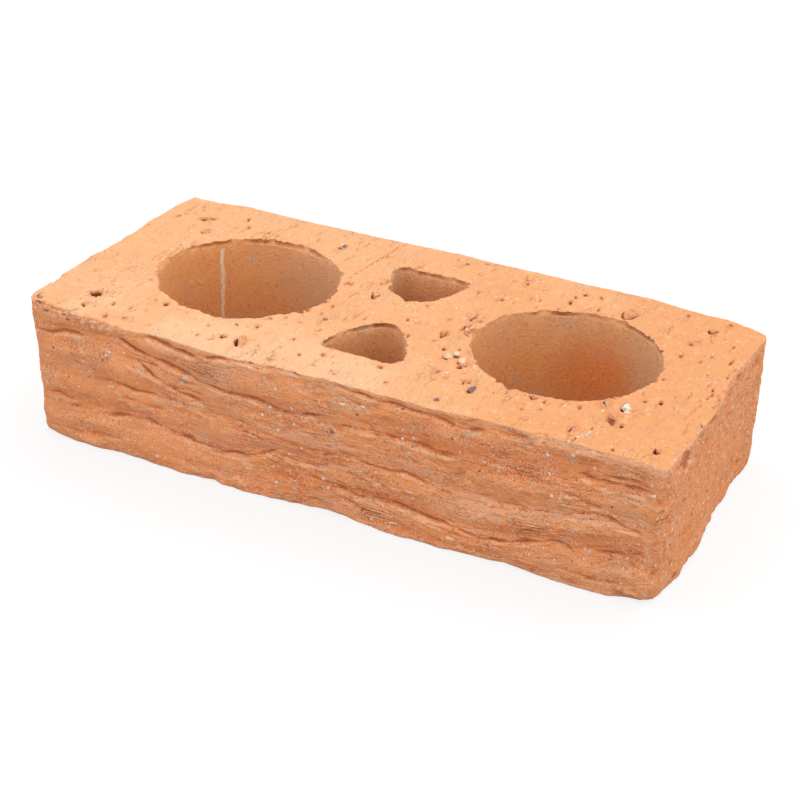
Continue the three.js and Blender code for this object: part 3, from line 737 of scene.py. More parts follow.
# Clods smeared on the upper bed: place along and across, half sizes, how proud, lean in degrees.
CLODS = (
    (-35.6, -42.3, 1.3, 3.0, 0.7, 25), (66.6, 38.6, 2.0, 2.8, 0.9, 0), (-8.3, -37.4, 0.7, 1.2, 0.4, 20),
    (18.5, -4.6, 1.0, 1.9, 0.6, 0), (-42.4, -41.4, 0.7, 1.1, 0.5, 0), (-27.5, -12.4, 0.8, 0.8, 0.5, 0),
    (-25.5, -3.5, 1.0, 1.0, 0.5, 0), (27.9, -17.6, 0.8, 0.6, 0.4, 0), (81, -23, 1.5, 3.0, 0.5, 5),
    (86.2, -28.2, 2.0, 0.9, 0.4, 20), (89.6, -32.3, 0.6, 0.6, 0.4, 0), (78, -41.8, 1.0, 1.7, 0.4, 0),
    (104.9, -41.9, 0.8, 0.8, 0.5, 0), (59.9, -29.7, 0.9, 0.7, 0.4, 0), (-14.3, 19.6, 0.8, 1.3, 0.4, 0),
    (-93, -43.9, 0.9, 0.8, 0.3, 0), (24.4, 2.5, 0.6, 0.7, 0.5, 0), (24.5, 0.4, 0.6, 0.7, 0.5, 0),
    (-22.5, -48.2, 1.0, 0.5, 0.3, 0), (38, -30.6, 1.0, 1.5, 0.35, 0), (31.3, -31.6, 0.5, 1.4, 0.3, 0),
    (27.1, -29.6, 0.9, 2.0, 0.35, -15), (-93, 33.5, 1.6, 0.9, 0.5, 20), (-88, 25.4, 1.1, 1.3, 0.4, 0),
    (94.7, 41.8, 0.8, 0.9, 0.3, 0), (-64.7, 33.8, 0.9, 1.1, 0.3, 0), (-39.7, 38.2, 1.0, 1.1, 0.4, 0),
    (98.5, 46.6, 0.8, 0.8, 0.3, 0), (-36.8, -30.2, 0.6, 0.8, 0.3, 20), (-5.7, -37.0, 0.4, 0.9, 0.2, 20),
)


def read_box(points, x, y, reach):
    """Which points lie near a place on the bed."""
    return np.nonzero((np.abs(points[:, 0] - x) < reach) & (np.abs(points[:, 1] - y) < reach))[0]


def pit_depth(points, x, y, half_x, half_y, depth, lean):
    """Points that one ragged pit reaches, its depth there and its surround, which the colour makes redder."""
    near = read_box(points, x, y, 2.4 * max(half_x, half_y) + 1.0)
    dx = points[near, 0] - x
    dy = points[near, 1] - y
    turn = math.radians(lean)
    across = (dx * math.cos(turn) + dy * math.sin(turn)) / half_x
    along = (dy * math.cos(turn) - dx * math.sin(turn)) / half_y
    share = (np.abs(across) ** 1.35 + np.abs(along) ** 1.35) ** 0.74
    share += 0.42 * noise(np.c_[points[near, :2], points[near, 0] * 0], 0.9, 80)
    return near, depth * smooth(1.2, 0.6, share), smooth(2.2, 1.0, share)


def groove_depth(points, half_width, depth, *places):
    """Points that one groove reaches, its depth there and its surround, which the colour makes redder."""
    places = np.array(places, float)
    middle = (places.min(0) + places.max(0)) / 2
    near = read_box(points, middle[0], middle[1], np.ptp(places, axis=0).max() / 2 + 2.5 * half_width + 0.5)
    spot = points[near, :2]
    ragged = 0.45 * noise(np.c_[spot, spot[:, 0] * 0], 1.0, 81)
    off, taper = np.full(len(near), 1e9), np.ones(len(near))
    for number, (start, end) in enumerate(zip(places[:-1], places[1:])):
        way = end - start
        share = np.clip((spot - start) @ way / (way @ way), 0.0, 1.0)
        gap = np.linalg.norm(spot - start - share[:, None] * way, axis=1)
        along = (number + share) / (len(places) - 1)
        taper = np.where(gap < off, np.sin(math.pi * (0.12 + 0.76 * along)), taper)
        off = np.minimum(off, gap)
    off = off / half_width / np.maximum(taper, 0.4) + ragged
    return near, depth * smooth(1.25, 0.2, off), smooth(2.4, 1.0, off)


def random_pits(seed, count, smallest, biggest):
    """Pits of a bed, most of them small, drawn out along the cut."""
    random = np.random.default_rng(seed)
    made = []
    for _ in range(count):
        size = smallest + (biggest - smallest) * (1.0 - random.power(3.0))
        x, y = random.uniform(-108, 108), random.uniform(-49, 49)
        long, deep = size * random.uniform(1.0, 2.2), size * random.uniform(0.6, 1.1)
        made.append((x, y, size, long, deep, random.uniform(-10, 25)))
    return tuple(made)


TOP_PITS = PITS + random_pits(8, 110, 0.25, 0.55)
LOW_PITS = random_pits(7, 240, 0.3, 1.3)

# Turn from one pit to the next of the side on which its torn flake lies.
FLAKE_TURN = 2.4


def bed_marks(points, pits, grooves, drags, clods):
    """Depth of the pits and grooves of a bed, the redder tint in and round them, and the softer ups and
    downs.
    """
    depth, red_tint, soft = np.zeros((3, len(points)))
    for number, pit in enumerate(pits):
        near, amount, halo = pit_depth(points, *pit)
        depth[near] = np.maximum(depth[near], amount)
        red_tint[near] = np.maximum(red_tint[near], halo * min(1.0, pit[4]))
        x, y, half_x, half_y, sunk, lean = pit
        turn = FLAKE_TURN * number
        flake = (x + 1.5 * half_x * math.cos(turn), y + 1.5 * half_y * math.sin(turn), half_x, 0.8 * half_y)
        near, amount, _ = pit_depth(points, *flake, 0.40 * min(sunk, 1.0), lean + 30.0)
        soft[near] = np.minimum(soft[near], -amount)
    for groove in grooves:
        near, amount, halo = groove_depth(points, *groove)
        depth[near] = np.maximum(depth[near], amount)
        red_tint[near] = np.maximum(red_tint[near], halo * min(1.0, groove[1]))
    for drag in drags:
        near, amount, _ = groove_depth(points, *drag)
        soft[near] = np.maximum(soft[near], amount)
        red_tint[near] = np.maximum(red_tint[near], np.minimum(2.0 * amount, 0.8))
    for clod in clods:
        near, amount, halo = pit_depth(points, *clod)
        soft[near] = np.minimum(soft[near], -amount)
        red_tint[near] = np.maximum(red_tint[near], 0.7 * halo)
    return depth, red_tint, soft


def bed_plain(points, seed):
    """Unevenness of a bed under its marks. It is never less than nothing."""
    flat = np.c_[points[:, 0], points[:, 1], np.zeros(len(points))]
    depth = 0.10 * (1.0 + rough(flat, (34, 40, 1), seed, 2))
    depth += 0.05 * rough(flat, (1.6, 12, 1), seed + 5, 2)
    depth += 0.04 * rough(flat, 2.4, seed + 9, 2)
    return np.maximum(depth, 0.0)


class Mouths:
    """The outlines of the cores, as places along them with their directions into the clay."""

    STEP = 0.6

    def __init__(self, source):
        scratch = bmesh.new()
        scratch.from_mesh(source.data)
        bmesh.ops.remove_doubles(scratch, verts=scratch.verts, dist=0.001 * MM)
        self.places, self.ways = [], []
        for edge in scratch.edges:
            if len(edge.link_faces) != 2 or min(vertex.co.z for vertex in edge.verts) < (HEIGHT - 0.01) * MM:
                continue
            wall = min(edge.link_faces, key=lambda face: abs(face.normal.z))
            if abs(wall.normal.z) > 0.01:
                continue
            start, end = (vertex.co / MM for vertex in edge.verts)
            for k in range(int((end - start).length / self.STEP) + 1):
                place = start.lerp(end, (k + 0.5) / (int((end - start).length / self.STEP) + 1))
                self.places.append((place.x, place.y, 0.0))
                self.ways.append((-wall.normal.x, -wall.normal.y))
        scratch.free()
        self.places, self.ways = np.array(self.places), np.array(self.ways)
        self.tree = KDTree(len(self.places))
        for number, place in enumerate(self.places):
            self.tree.insert(place, number)
        self.tree.balance()

    def nearest(self, points):
        """Number of the nearest place of an outline, and how far off in plan it is, for each point."""
        found = [self.tree.find((x, y, 0.0))[1:] for x, y in points[:, :2]]
        return np.array([one[0] for one in found]), np.array([one[1] for one in found])

    def shift(self, table):
        """How far each place of an outline is moved into the clay by a table of places."""
        total = np.zeros(len(self.places))
        for x, y, reach, amount in table:
            centre = self.places[self.tree.find((x, y, 0.0))[1]]
            off = np.hypot(self.places[:, 0] - centre[0], self.places[:, 1] - centre[1])
            total += amount * hump(off, reach)
        return total


# ---------------------------------------------------------------- the body


def voxel_mesh():
    """The node's solid, evenly divided."""
    work = bpy.data.objects.new("work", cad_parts[NODE].data.copy())
    bpy.context.scene.collection.objects.link(work)
    remesh = work.modifiers.new("even", "REMESH")
    remesh.mode = "VOXEL"
    remesh.voxel_size = VOXEL * MM
    graph = bpy.context.evaluated_depsgraph_get()
    mesh = bpy.data.meshes.new_from_object(work.evaluated_get(graph))
    bpy.data.objects.remove(work)
    return mesh


def read_points(mesh):
    flat = np.empty(len(mesh.vertices) * 3, np.float32)
    mesh.vertices.foreach_get("co", flat)
    return flat.reshape(-1, 3).astype(float) / MM


def read_normals(mesh):
    flat = np.empty(len(mesh.vertices) * 3, np.float32)
    mesh.vertex_normals.foreach_get("vector", flat)
    return flat.reshape(-1, 3).astype(float)


def write_points(mesh, points):
    mesh.vertices.foreach_set("co", (points * MM).astype(np.float32).ravel())
    mesh.update()


def edge_pairs(mesh):
    flat = np.empty(len(mesh.edges) * 2, np.int32)
    mesh.edges.foreach_get("vertices", flat)
    return flat.reshape(-1, 2)


def averaged(values, pairs, rounds=1):
    """Rows of values averaged with their neighbours along the mesh's edges."""
    one, other = pairs.T
    count = np.bincount(pairs.ravel(), minlength=len(values)) + 1.0
    columns = list(values.T)
    for _ in range(rounds):
        columns = [(column + np.bincount(one, column[other], len(values))
                    + np.bincount(other, column[one], len(values))) / count for column in columns]
    return np.array(columns).T


def sharpen_arris(moved, points, inward, out_x, out_y):
    """Takes most of the rounding off the upper outer arris."""
    near = np.nonzero((HEIGHT - points[:, 2] < CAD_ROUNDING) & (inward < CAD_ROUNDING) & (inward > -0.3))[0]
    aside = np.clip((CAD_ROUNDING - inward[near]) / CAD_ROUNDING, 0.0, 1.0)
    upward = np.clip((CAD_ROUNDING - HEIGHT + points[near, 2]) / CAD_ROUNDING, 0.0, 1.0)
    grow = CAD_ROUNDING * (np.maximum(np.maximum(aside, upward), 0.5) ** -0.7 - 1.0)
    moved[near, 0] += out_x[near] * grow * aside
    moved[near, 1] += out_y[near] * grow * aside
    moved[near, 2] += grow * upward


def wear_arris(moved, points, inward, out_x, out_y):
    """Breaks the chips out of the upper outer arris."""
    front, back, ends = face_shares(out_y)
    near = np.nonzero((HEIGHT - points[:, 2] < 5.0) & (inward < 6.0))[0]
    for share, axis, chips, wear, seed in (
        (front, 0, FRONT_CHIPS, 1.0, 300),
        (back, 0, BACK_CHIPS, 1.0, 310),
        (ends, 1, END_CHIPS, 1.9, 320),
    ):
        mine = near[share[near] > 0.5]
        reach_in, reach_down = chip_reach(points[mine, axis], chips, wear, seed)
        ragged = 1.0 + 0.35 * noise(points[mine], 1.4, seed + 5)
        reach_in, reach_down = reach_in * ragged, reach_down * ragged
        beyond = 1.0 - np.maximum(inward[mine], 0.0) / reach_in - (HEIGHT - points[mine, 2]) / reach_down
        beyond = np.clip(beyond, 0, 1)
        moved[mine, 0] -= out_x[mine] * beyond * reach_in / 2
        moved[mine, 1] -= out_y[mine] * beyond * reach_in / 2
        moved[mine, 2] -= beyond * reach_down / 2


# How much of the rounding in plan is taken off each upright corner: side of the length, side of the
# width, share low down and share at the top.
CORNERS = ((-1, -1, 0.15, 0.15), (1, -1, 0.4, 0.55), (1, 1, 0.6, 0.1), (-1, 1, 0.9, 0.9))
PLAN_ROUNDING = 8.0

# Where the bed is broken off obliquely at the back right corner: place along and place across.
BROKEN_CORNER = ((94, 54), (98, 51.9), (104, 49.9), (110.6, 47.0), (113, 46.0))


def square_corners(moved, points):
    """Brings the upright corners nearer to square, and breaks one off at the top."""
    for side_x, side_y, low, top in CORNERS:
        along = points[:, 0] * side_x - HALF_LENGTH + PLAN_ROUNDING
        across = points[:, 1] * side_y - HALF_WIDTH + PLAN_ROUNDING
        near = np.nonzero((along > 0) & (across > 0))[0]
        along, across = along[near], across[near]
        share = low + (top - low) * smooth(28.0, 46.0, points[near, 2])
        grow = (np.hypot(along, across) / np.maximum(along, across)) ** share - 1.0
        moved[near, 0] += side_x * along * grow
        moved[near, 1] += side_y * across * grow
    stations = np.array(BROKEN_CORNER)
    near = np.nonzero((points[:, 0] > stations[0, 0]) & (points[:, 1] > 40.0))[0]
    over = moved[near, 1] - np.interp(moved[near, 0], stations[:, 0], stations[:, 1])
    moved[near, 1] -= np.maximum(over, 0.0) * smooth(30.0, 47.0, points[near, 2])


def edge_moves(points, way, out_y, grid, calm):
    """How far the skin moves out near the beds, so that its arrises run as they should."""
    x, y, z = points.T
    front, back, ends = face_shares(out_y)
    edge = grid.read(calm, way, np.full(len(points), HEIGHT - 3.0))
    high = smooth(40.0, 48.5, z)
    total = np.zeros(len(points))
    for share, place, table, side, half in (
        (front, x, FRONT_EDGE, -1.0, HALF_WIDTH),
        (back, x, BACK_EDGE, 1.0, HALF_WIDTH),
        (ends * (x > 0), y, END_EDGE, 1.0, HALF_LENGTH),
    ):
        stations = np.array(table)
        want = side * np.interp(place, stations[:, 0], stations[:, 1]) - half
        inside = smooth(-3.0, 3.0, np.minimum(place - stations[0, 0], stations[-1, 0] - place))
        total += high * share * inside * np.clip(want - edge, -2.0, 2.0)
    foot_out = grid.read(calm, way, np.full(len(points), 5.0))
    foot = (np.interp(x, *np.array(FOOT_LINE).T) - FOOT_TURN) / SEEN_RISE
    foot = foot + foot_out + HALF_WIDTH + FRONT_PLANE
    foot = np.clip(foot + 0.5 * line_noise(way, 4.5, 331), -1.2, 6.0) * front
    foot += (0.5 + 0.5 * line_noise(way, 9.0, 330)) * (back + ends)
    total -= foot * np.clip(1.0 - z / 5.0, 0.0, 1.0) ** 1.7
    corner = hump(x + 107.0, 9.0) * smooth(-15.0, -40.0, y)
    total += corner * np.interp(z, *np.array(CORNER_BULGE).T)
    return total


def shape_cores(moved, points, normals, inside, mouths):
    """Shifts, roughens and chips the walls of the cores. Returns how deep their hollows are."""
    z = points[:, 2]
    number, off = mouths.nearest(points[inside])
    ways = mouths.ways[number]
    shift = mouths.shift(WALL_SHIFTS)[number]
    lean = 1.0 - 0.4 * smooth(HEIGHT, 0.0, z[inside])
    bite = 0.25 + 1.1 * rough(mouths.places, 2.2, 340, 2) + 0.6 * noise(mouths.places, 7.0, 345)
    bite = np.clip(bite, -0.7, 2.0) + mouths.shift(MOUTH_CHIPS)
    bite = bite[number]
    fall = smooth(48.0, 49.9, z[inside])
    near_bed = np.sign(bite) * np.clip(np.abs(bite) - off, 0.0, None)
    push = shift * lean * smooth(6.0, 0.0, off) + fall * near_bed
    moved[inside, :2] += ways * push[:, None]
    # The hollows are returned as well, so that the colour paints the shadow under the rims.
    hollow = (mouths.shift(UNDERCUTS)[number] + 0.3 * smooth(0.0, -0.4, bite)) * smooth(1.2, 0.5, off)
    hollow *= smooth(47.9, 48.7, z[inside]) * smooth(49.9, 49.4, z[inside])
    hollow *= np.clip(0.55 + 1.1 * rough(mouths.places, 6.0, 347, 2), 0.0, 1.2)[number]
    moved[inside, :2] += ways * hollow[:, None]
    wall = inside[np.abs(normals[inside, 2]) < 0.5]
    tall = points[wall] * (1.0, 1.0, 0.5)
    coarse = 0.16 * noise(tall, 9.0, 350) + 0.12 * rough(tall, 2.6, 355, 2)
    moved[wall] += normals[wall] * coarse[:, None]
    return hollow


def shape_skin(moved, notes, points, upright, plan):
    """Moves the skin out and in, and squares, sharpens and chips its arrises."""
    way, out, out_x, out_y = plan
    height = points[:, 2]
    on_skin = upright & (out > -SKIN_BAND)
    grid = Grid(way[on_skin], height[on_skin], out[on_skin])
    raw, calm = grid.blurred(0.5, 0.5), grid.blurred(2.2, 1.3)
    skin = np.nonzero(out > -SKIN_BAND)[0]
    spot, way = points[skin], way[skin]
    height, round_x, round_y = spot[:, 2], out_x[skin], out_y[skin]
    inward = grid.read(raw, way, height) - out[skin]
    relief, *marks = skin_relief(spot, round_y)
    for name, values in zip(("groove", "lined", "patch", "level"), marks):
        notes[name][skin] = values
    notes["ends"][skin] = face_shares(round_y)[2]
    push = relief * smooth(4.0, 0.5, inward) + grid.read(calm - raw, way, height) * smooth(5.0, 0.5, inward)
    push = push * (1.0 - 0.6 * smooth(HEIGHT - 2.0, HEIGHT, height)) * smooth(-0.2, 1.5, height)
    push += edge_moves(spot, way, round_y, grid, calm) * smooth(7.0, 2.0, inward)
    changed = spot.copy()
    changed[:, 0] += round_x * push
    changed[:, 1] += round_y * push
    square_corners(changed, spot)
    sharpen_arris(changed, spot, inward, round_x, round_y)
    wear_arris(changed, spot, inward, round_x, round_y)
    moved[skin] = changed


def shape_beds(moved, notes, points):
    """Sinks pits, grooves and drags into both beds, and raises the clods on the upper one."""
    height, ceiling = points[:, 2], np.full(len(points), HEIGHT)
    for tables, seed, way_in, off in (
        ((TOP_PITS, GROOVES, DRAGS, CLODS), 100, -1.0, HEIGHT - height),
        ((LOW_PITS, (), (), ()), 120, 1.0, height),
    ):
        near = np.nonzero(off < 3.0)[0]
        depth, red_tint, soft = bed_marks(points[near], *tables)
        sunk = depth + soft + bed_plain(points[near], seed)
        moved[near, 2] += way_in * smooth(2.4, 0.2, off[near]) * sunk
        ceiling[near] += np.maximum(-soft, 0.0)
        notes["pit"][near] = smooth(0.15, 1.3, depth)
        notes["patch"][near] = np.maximum(notes["patch"][near], red_tint)
    moved[:, 2] = np.clip(moved[:, 2], 0.0, ceiling)


def write_notes(mesh, notes, moved, height, out, pairs):
    """Gives the mesh the attributes that its colour follows."""
    groove, lined, patch, level, ends, pit, under = notes.values()
    normals = averaged(read_normals(mesh), pairs, 1)
    flat = smooth(0.62, 0.84, np.abs(normals[:, 2]))
    bed = smooth(3.5, 2.5, np.minimum(moved[:, 2], HEIGHT - moved[:, 2])) * flat
    sunken = (np.minimum(height, HEIGHT - height) < 1.5) & (out < -2.0)
    bed = np.maximum(bed, np.maximum(pit, patch) * sunken * (under < 0.1))
    core = smooth(-SKIN_BAND, -SKIN_BAND - 2.0, out) * (1.0 - bed)
    face = 1.0 - bed - core
    # fine and broad tell hollows from what stands out; the material paints shade into the hollows and, in
    # part, highlight onto what stands out.
    fine = ((averaged(moved, pairs, 2) - moved) * normals).sum(1)
    broad = ((averaged(moved, pairs, 24) - moved) * averaged(normals, pairs, 8)).sum(1)
    add_attribute(mesh, "kind", np.c_[bed, core, smooth(-5.0, -3.0, out)])
    add_attribute(mesh, "layer", np.c_[moved[:, :2], level])
    # The third number of hollow is painted shade: the grooves of the faces, the pits of the beds and the
    # hollows under the core rims; below nothing it marks the pale crests, partly painted highlight.
    add_attribute(mesh, "hollow", np.c_[fine, broad, groove * face + pit * bed + under * core])
    add_attribute(mesh, "marks", np.c_[lined * face, patch * (face + bed), ends * face])


def shape_body(mesh, mouths):
    """Works the finish into the even mesh, and notes on it what its colour follows."""
    points = read_points(mesh)
    pairs = edge_pairs(mesh)
    normals = averaged(read_normals(mesh), pairs, 2)
    plan = round_outline(points[:, 0], points[:, 1])
    height, out = points[:, 2], plan[1]
    upright = np.abs(normals[:, 2]) < 0.5
    moved = points.copy()
    names = ("groove", "lined", "patch", "level", "ends", "pit", "under")
    notes = {name: np.zeros(len(points)) for name in names}
    notes["level"] += height
    shape_skin(moved, notes, points, upright, plan)
    inner = np.nonzero((out < -SKIN_BAND + 1.0) & (upright | (height > HEIGHT - 1.0) | (height < 1.0)))[0]
    notes["under"][inner] = shape_cores(moved, points, normals, inner, mouths)
    shape_beds(moved, notes, points)
    write_points(mesh, moved)
    write_notes(mesh, notes, moved, height, out, pairs)


def collapse(mesh, most):
    """The mesh with fewer triangles, most of them kept on the bed, the front and the right-hand end."""
    points = read_points(mesh)
    x, y, z = points.T
    coarse = (z < HEIGHT - 2.0) & (y > 8.0 - HALF_WIDTH) & (x < HALF_LENGTH - 6.0)
    work = bpy.data.objects.new("work", mesh)
    bpy.context.scene.collection.objects.link(work)
    work.vertex_groups.new(name="coarse").add(np.nonzero(coarse)[0].tolist(), 1.0, "REPLACE")
    start = sum(len(face.vertices) - 2 for face in mesh.polygons)
    middle = start * (1.0 - (1.0 - COARSE_SHARE) * coarse.mean())
    first = work.modifiers.new("first", "DECIMATE")
    first.vertex_group = "coarse"
    first.ratio = middle / start
    second = work.modifiers.new("second", "DECIMATE")
    second.ratio = min(1.0, most / middle)
    graph = bpy.context.evaluated_depsgraph_get()
    result = bpy.data.meshes.new_from_object(work.evaluated_get(graph))
    bpy.data.objects.remove(work)
    return result


def add_attribute(mesh, name, values):
    """Gives each point of a mesh three numbers that its material reads."""
    layer = mesh.attributes.new(name, "FLOAT_VECTOR", "POINT")
    layer.data.foreach_set("vector", np.ascontiguousarray(values, np.float32).ravel())


# ---------------------------------------------------------------- materials


class Field:
    """A number or colour that varies over a surface, so that the outputs of nodes take plain arithmetic."""

    def __init__(self, nodes, socket):
        self.nodes, self.socket = nodes, socket

    def __add__(self, other):
        return self.nodes.math("ADD", self, other)

    def __radd__(self, other):
        return self.nodes.math("ADD", other, self)

    def __sub__(self, other):
        return self.nodes.math("SUBTRACT", self, other)

    def __rsub__(self, other):
        return self.nodes.math("SUBTRACT", other, self)

    def __mul__(self, other):
        return self.nodes.math("MULTIPLY", self, other)

    __rmul__ = __mul__

    def __pow__(self, power):
        return self.nodes.math("POWER", self, power)

    def __abs__(self):
        return self.nodes.math("ABSOLUTE", self)

    def above(self, least):
        return self.nodes.math("MAXIMUM", self, least)

    def ramp(self, low, high, low_to=0.0, high_to=1.0):
        """A smooth change from one number where this is low to another where it is high."""
        bounds = {"Value": self, "From Min": low, "From Max": high, "To Min": low_to, "To Max": high_to}
        return self.nodes.output("ShaderNodeMapRange", bounds, "Result", interpolation_type="SMOOTHSTEP")

    def scaled(self, *factors):
        """A place with each of its three numbers multiplied by its own factor."""
        return self.nodes.output("ShaderNodeVectorMath", {0: self, 1: factors}, operation="MULTIPLY")

    def parts(self):
        made = self.nodes.node("ShaderNodeSeparateXYZ", {"Vector": self})
        return [Field(self.nodes, socket) for socket in made.outputs]

    def toward(self, tone, share, blend="MIX"):
        """This colour with a share of another one."""
        return self.nodes.mix(share, self, tone, blend)

    def under(self, *layers):
        """This colour under others.

        A layer is its tone, the field that brings it on, that field's value where the layer starts and
        where it is full, its greatest share, and the shares of the places where it shows.
        """
        colour = self
        for tone, field, start, full, most, *places in layers:
            share = field.ramp(start, full, 0.0, most)
            for place in places:
                share = share * place
            colour = colour.toward(tone, share)
        return colour


class Nodes:
    """Short ways to make and link the nodes of one tree."""

    def __init__(self, tree):
        self.tree = tree

    def node(self, kind, inputs=None, **settings):
        made = self.tree.nodes.new(kind)
        for name, value in settings.items():
            setattr(made, name, value)
        for key, value in (inputs or {}).items():
            self.feed(made.inputs[key], value)
        return made

    def feed(self, socket, value):
        if isinstance(value, Field):
            self.tree.links.new(value.socket, socket)
        elif socket.type == "RGBA":
            socket.default_value = (*value, 1.0)
        else:
            socket.default_value = value

    def output(self, kind, inputs=None, name=0, **settings):
        return Field(self, self.node(kind, inputs, **settings).outputs[name])

    def math(self, operation, a, b=0.0, clamp=False):
        return self.output("ShaderNodeMath", {0: a, 1: b}, operation=operation, use_clamp=clamp)

    def mix(self, share, a, b, blend="MIX"):
        mixed = {"Factor": share, "A": a, "B": b}
        return self.output("ShaderNodeMix", mixed, "Result", data_type="RGBA", blend_type=blend)

    def noise(self, vector, scale, detail=3.0, roughness=0.55, distortion=0.0):
        """Smooth noise. Its scale is one number, or three where it is drawn out."""
        if isinstance(scale, tuple):
            vector, scale = vector.scaled(*scale), 1.0
        grain = {"Vector": vector, "Scale": scale, "Detail": detail}
        grain.update({"Roughness": roughness, "Distortion": distortion})
        return self.output("ShaderNodeTexNoise", grain)

    def specks(self, vector, scale, share, radius, soft=0.05):
        """Spots of unlike sizes in some cells of a random grid, and a number that differs between them."""
        bent = self.output("ShaderNodeTexNoise", {"Vector": vector, "Scale": 2.0 * scale}, "Color")
        shifted = {0: bent, 1: (0.9 / scale,) * 3, 2: vector}
        shifted = self.output("ShaderNodeVectorMath", shifted, operation="MULTIPLY_ADD")
        cells = self.node("ShaderNodeTexVoronoi", {"Vector": shifted, "Scale": scale}).outputs
        chance, size, hue = Field(self, cells["Color"]).parts()
        edge = Field(self, cells["Distance"]) - size * radius
        return edge.ramp(soft, -soft) * chance.ramp(share, share - 0.02), hue

    def threads(self, vector, scale, half_width, share):
        """Thin lines where a smooth random field passes its middle."""
        field = self.noise(vector, scale, 3.0, 0.55, 0.4) - 0.5
        return abs(field).ramp(half_width, 0.3 * half_width) * share

    def seen(self):
        """1 for what the camera sees, straight or mirrored, and 0 for what only lights other things."""
        rays = self.node("ShaderNodeLightPath").outputs
        return Field(self, rays["Is Camera Ray"]).above(Field(self, rays["Is Glossy Ray"]))


class Shader(Nodes):
    """The nodes of one material."""

    def __init__(self, name):
        self.material = bpy.data.materials.new(name)
        self.material.use_nodes = True
        super().__init__(self.material.node_tree)
        self.bsdf = self.tree.nodes["Principled BSDF"]
        self.surface = self.tree.nodes["Material Output"].inputs["Surface"]

    def attribute(self, name):
        return self.output("ShaderNodeAttribute", None, "Vector", attribute_name=name)

    def place(self):
        """The place on the object, in millimetres."""
        return self.output("ShaderNodeTexCoord", None, "Object").scaled(1000.0, 1000.0, 1000.0)

    def finish(self, colour, roughness, specular, relief=None, distance=MM):
        """Feeds the surface. Its relief is a bump of at most the distance."""
        values = {"Base Color": colour, "Roughness": roughness, "Specular IOR Level": specular}
        if relief is not None:
            values["Normal"] = self.output("ShaderNodeBump", {"Height": relief, "Distance": distance})
        for name, value in values.items():
            self.feed(self.bsdf.inputs[name], value)
        return self.material


BED_PALE = (0.83, 0.42, 0.200)
BED_ORANGE = (0.80, 0.350, 0.140)
BED_DUST = (0.88, 0.60, 0.37)
BED_RED = (0.66, 0.24, 0.095)
SKIN_CLAY = (0.88, 0.330, 0.125)
SKIN_DEEP = (0.70, 0.210, 0.066)
SKIN_PALE = (0.92, 0.48, 0.27)
SKIN_TAN = (0.75, 0.37, 0.185)
SKIN_END = (0.66, 0.235, 0.072)
SKIN_FAR = (0.60, 0.23, 0.085)
FOLD = (0.38, 0.115, 0.040)
CORE_CLAY = (0.85, 0.385, 0.145)
# Darker, redder tone of the painted shade deep in the right core.
CORE_DULL = (0.74, 0.41, 0.215)
CORE_SHADE_RED = (0.82, 0.270, 0.080)
EARTH = (0.40, 0.19, 0.10)
SHADE = (0.20, 0.055, 0.022)
# Pale pink tone of smears and flecks, also used for the painted highlight along the upper arris.
RUBBED_AND_LIT = (0.90, 0.52, 0.35)
HAZE = (0.70, 0.40, 0.28)
SPECK_BLUE = (0.50, 0.50, 0.48)
SPECK_PALE = (0.90, 0.76, 0.58)
SPECK_DARK = (0.16, 0.08, 0.05)

CLAY_ROUGHNESS = (0.84, 0.97)
CLAY_SPECULAR = 0.25
GRIT_ROUGHNESS = (0.7, 0.9)
GRIT_SPECULAR = 0.3
GRIT_BUMP = 0.15
TABLE_ROUGHNESS = 0.9

# A pale run down a wall of the left core: its place, and its half width across the way it faces.
RUN = (-79.3, 20.9)
RUN_FACING = (0.55, 0.83)
RUN_REACH = 0.6

# The middle of the painted shade deep in the right core, darker and redder there.
CORE_SHADE_PLACE = (58.0, 33.0, 27.0)
CORE_SHADE_REACH = 19.0


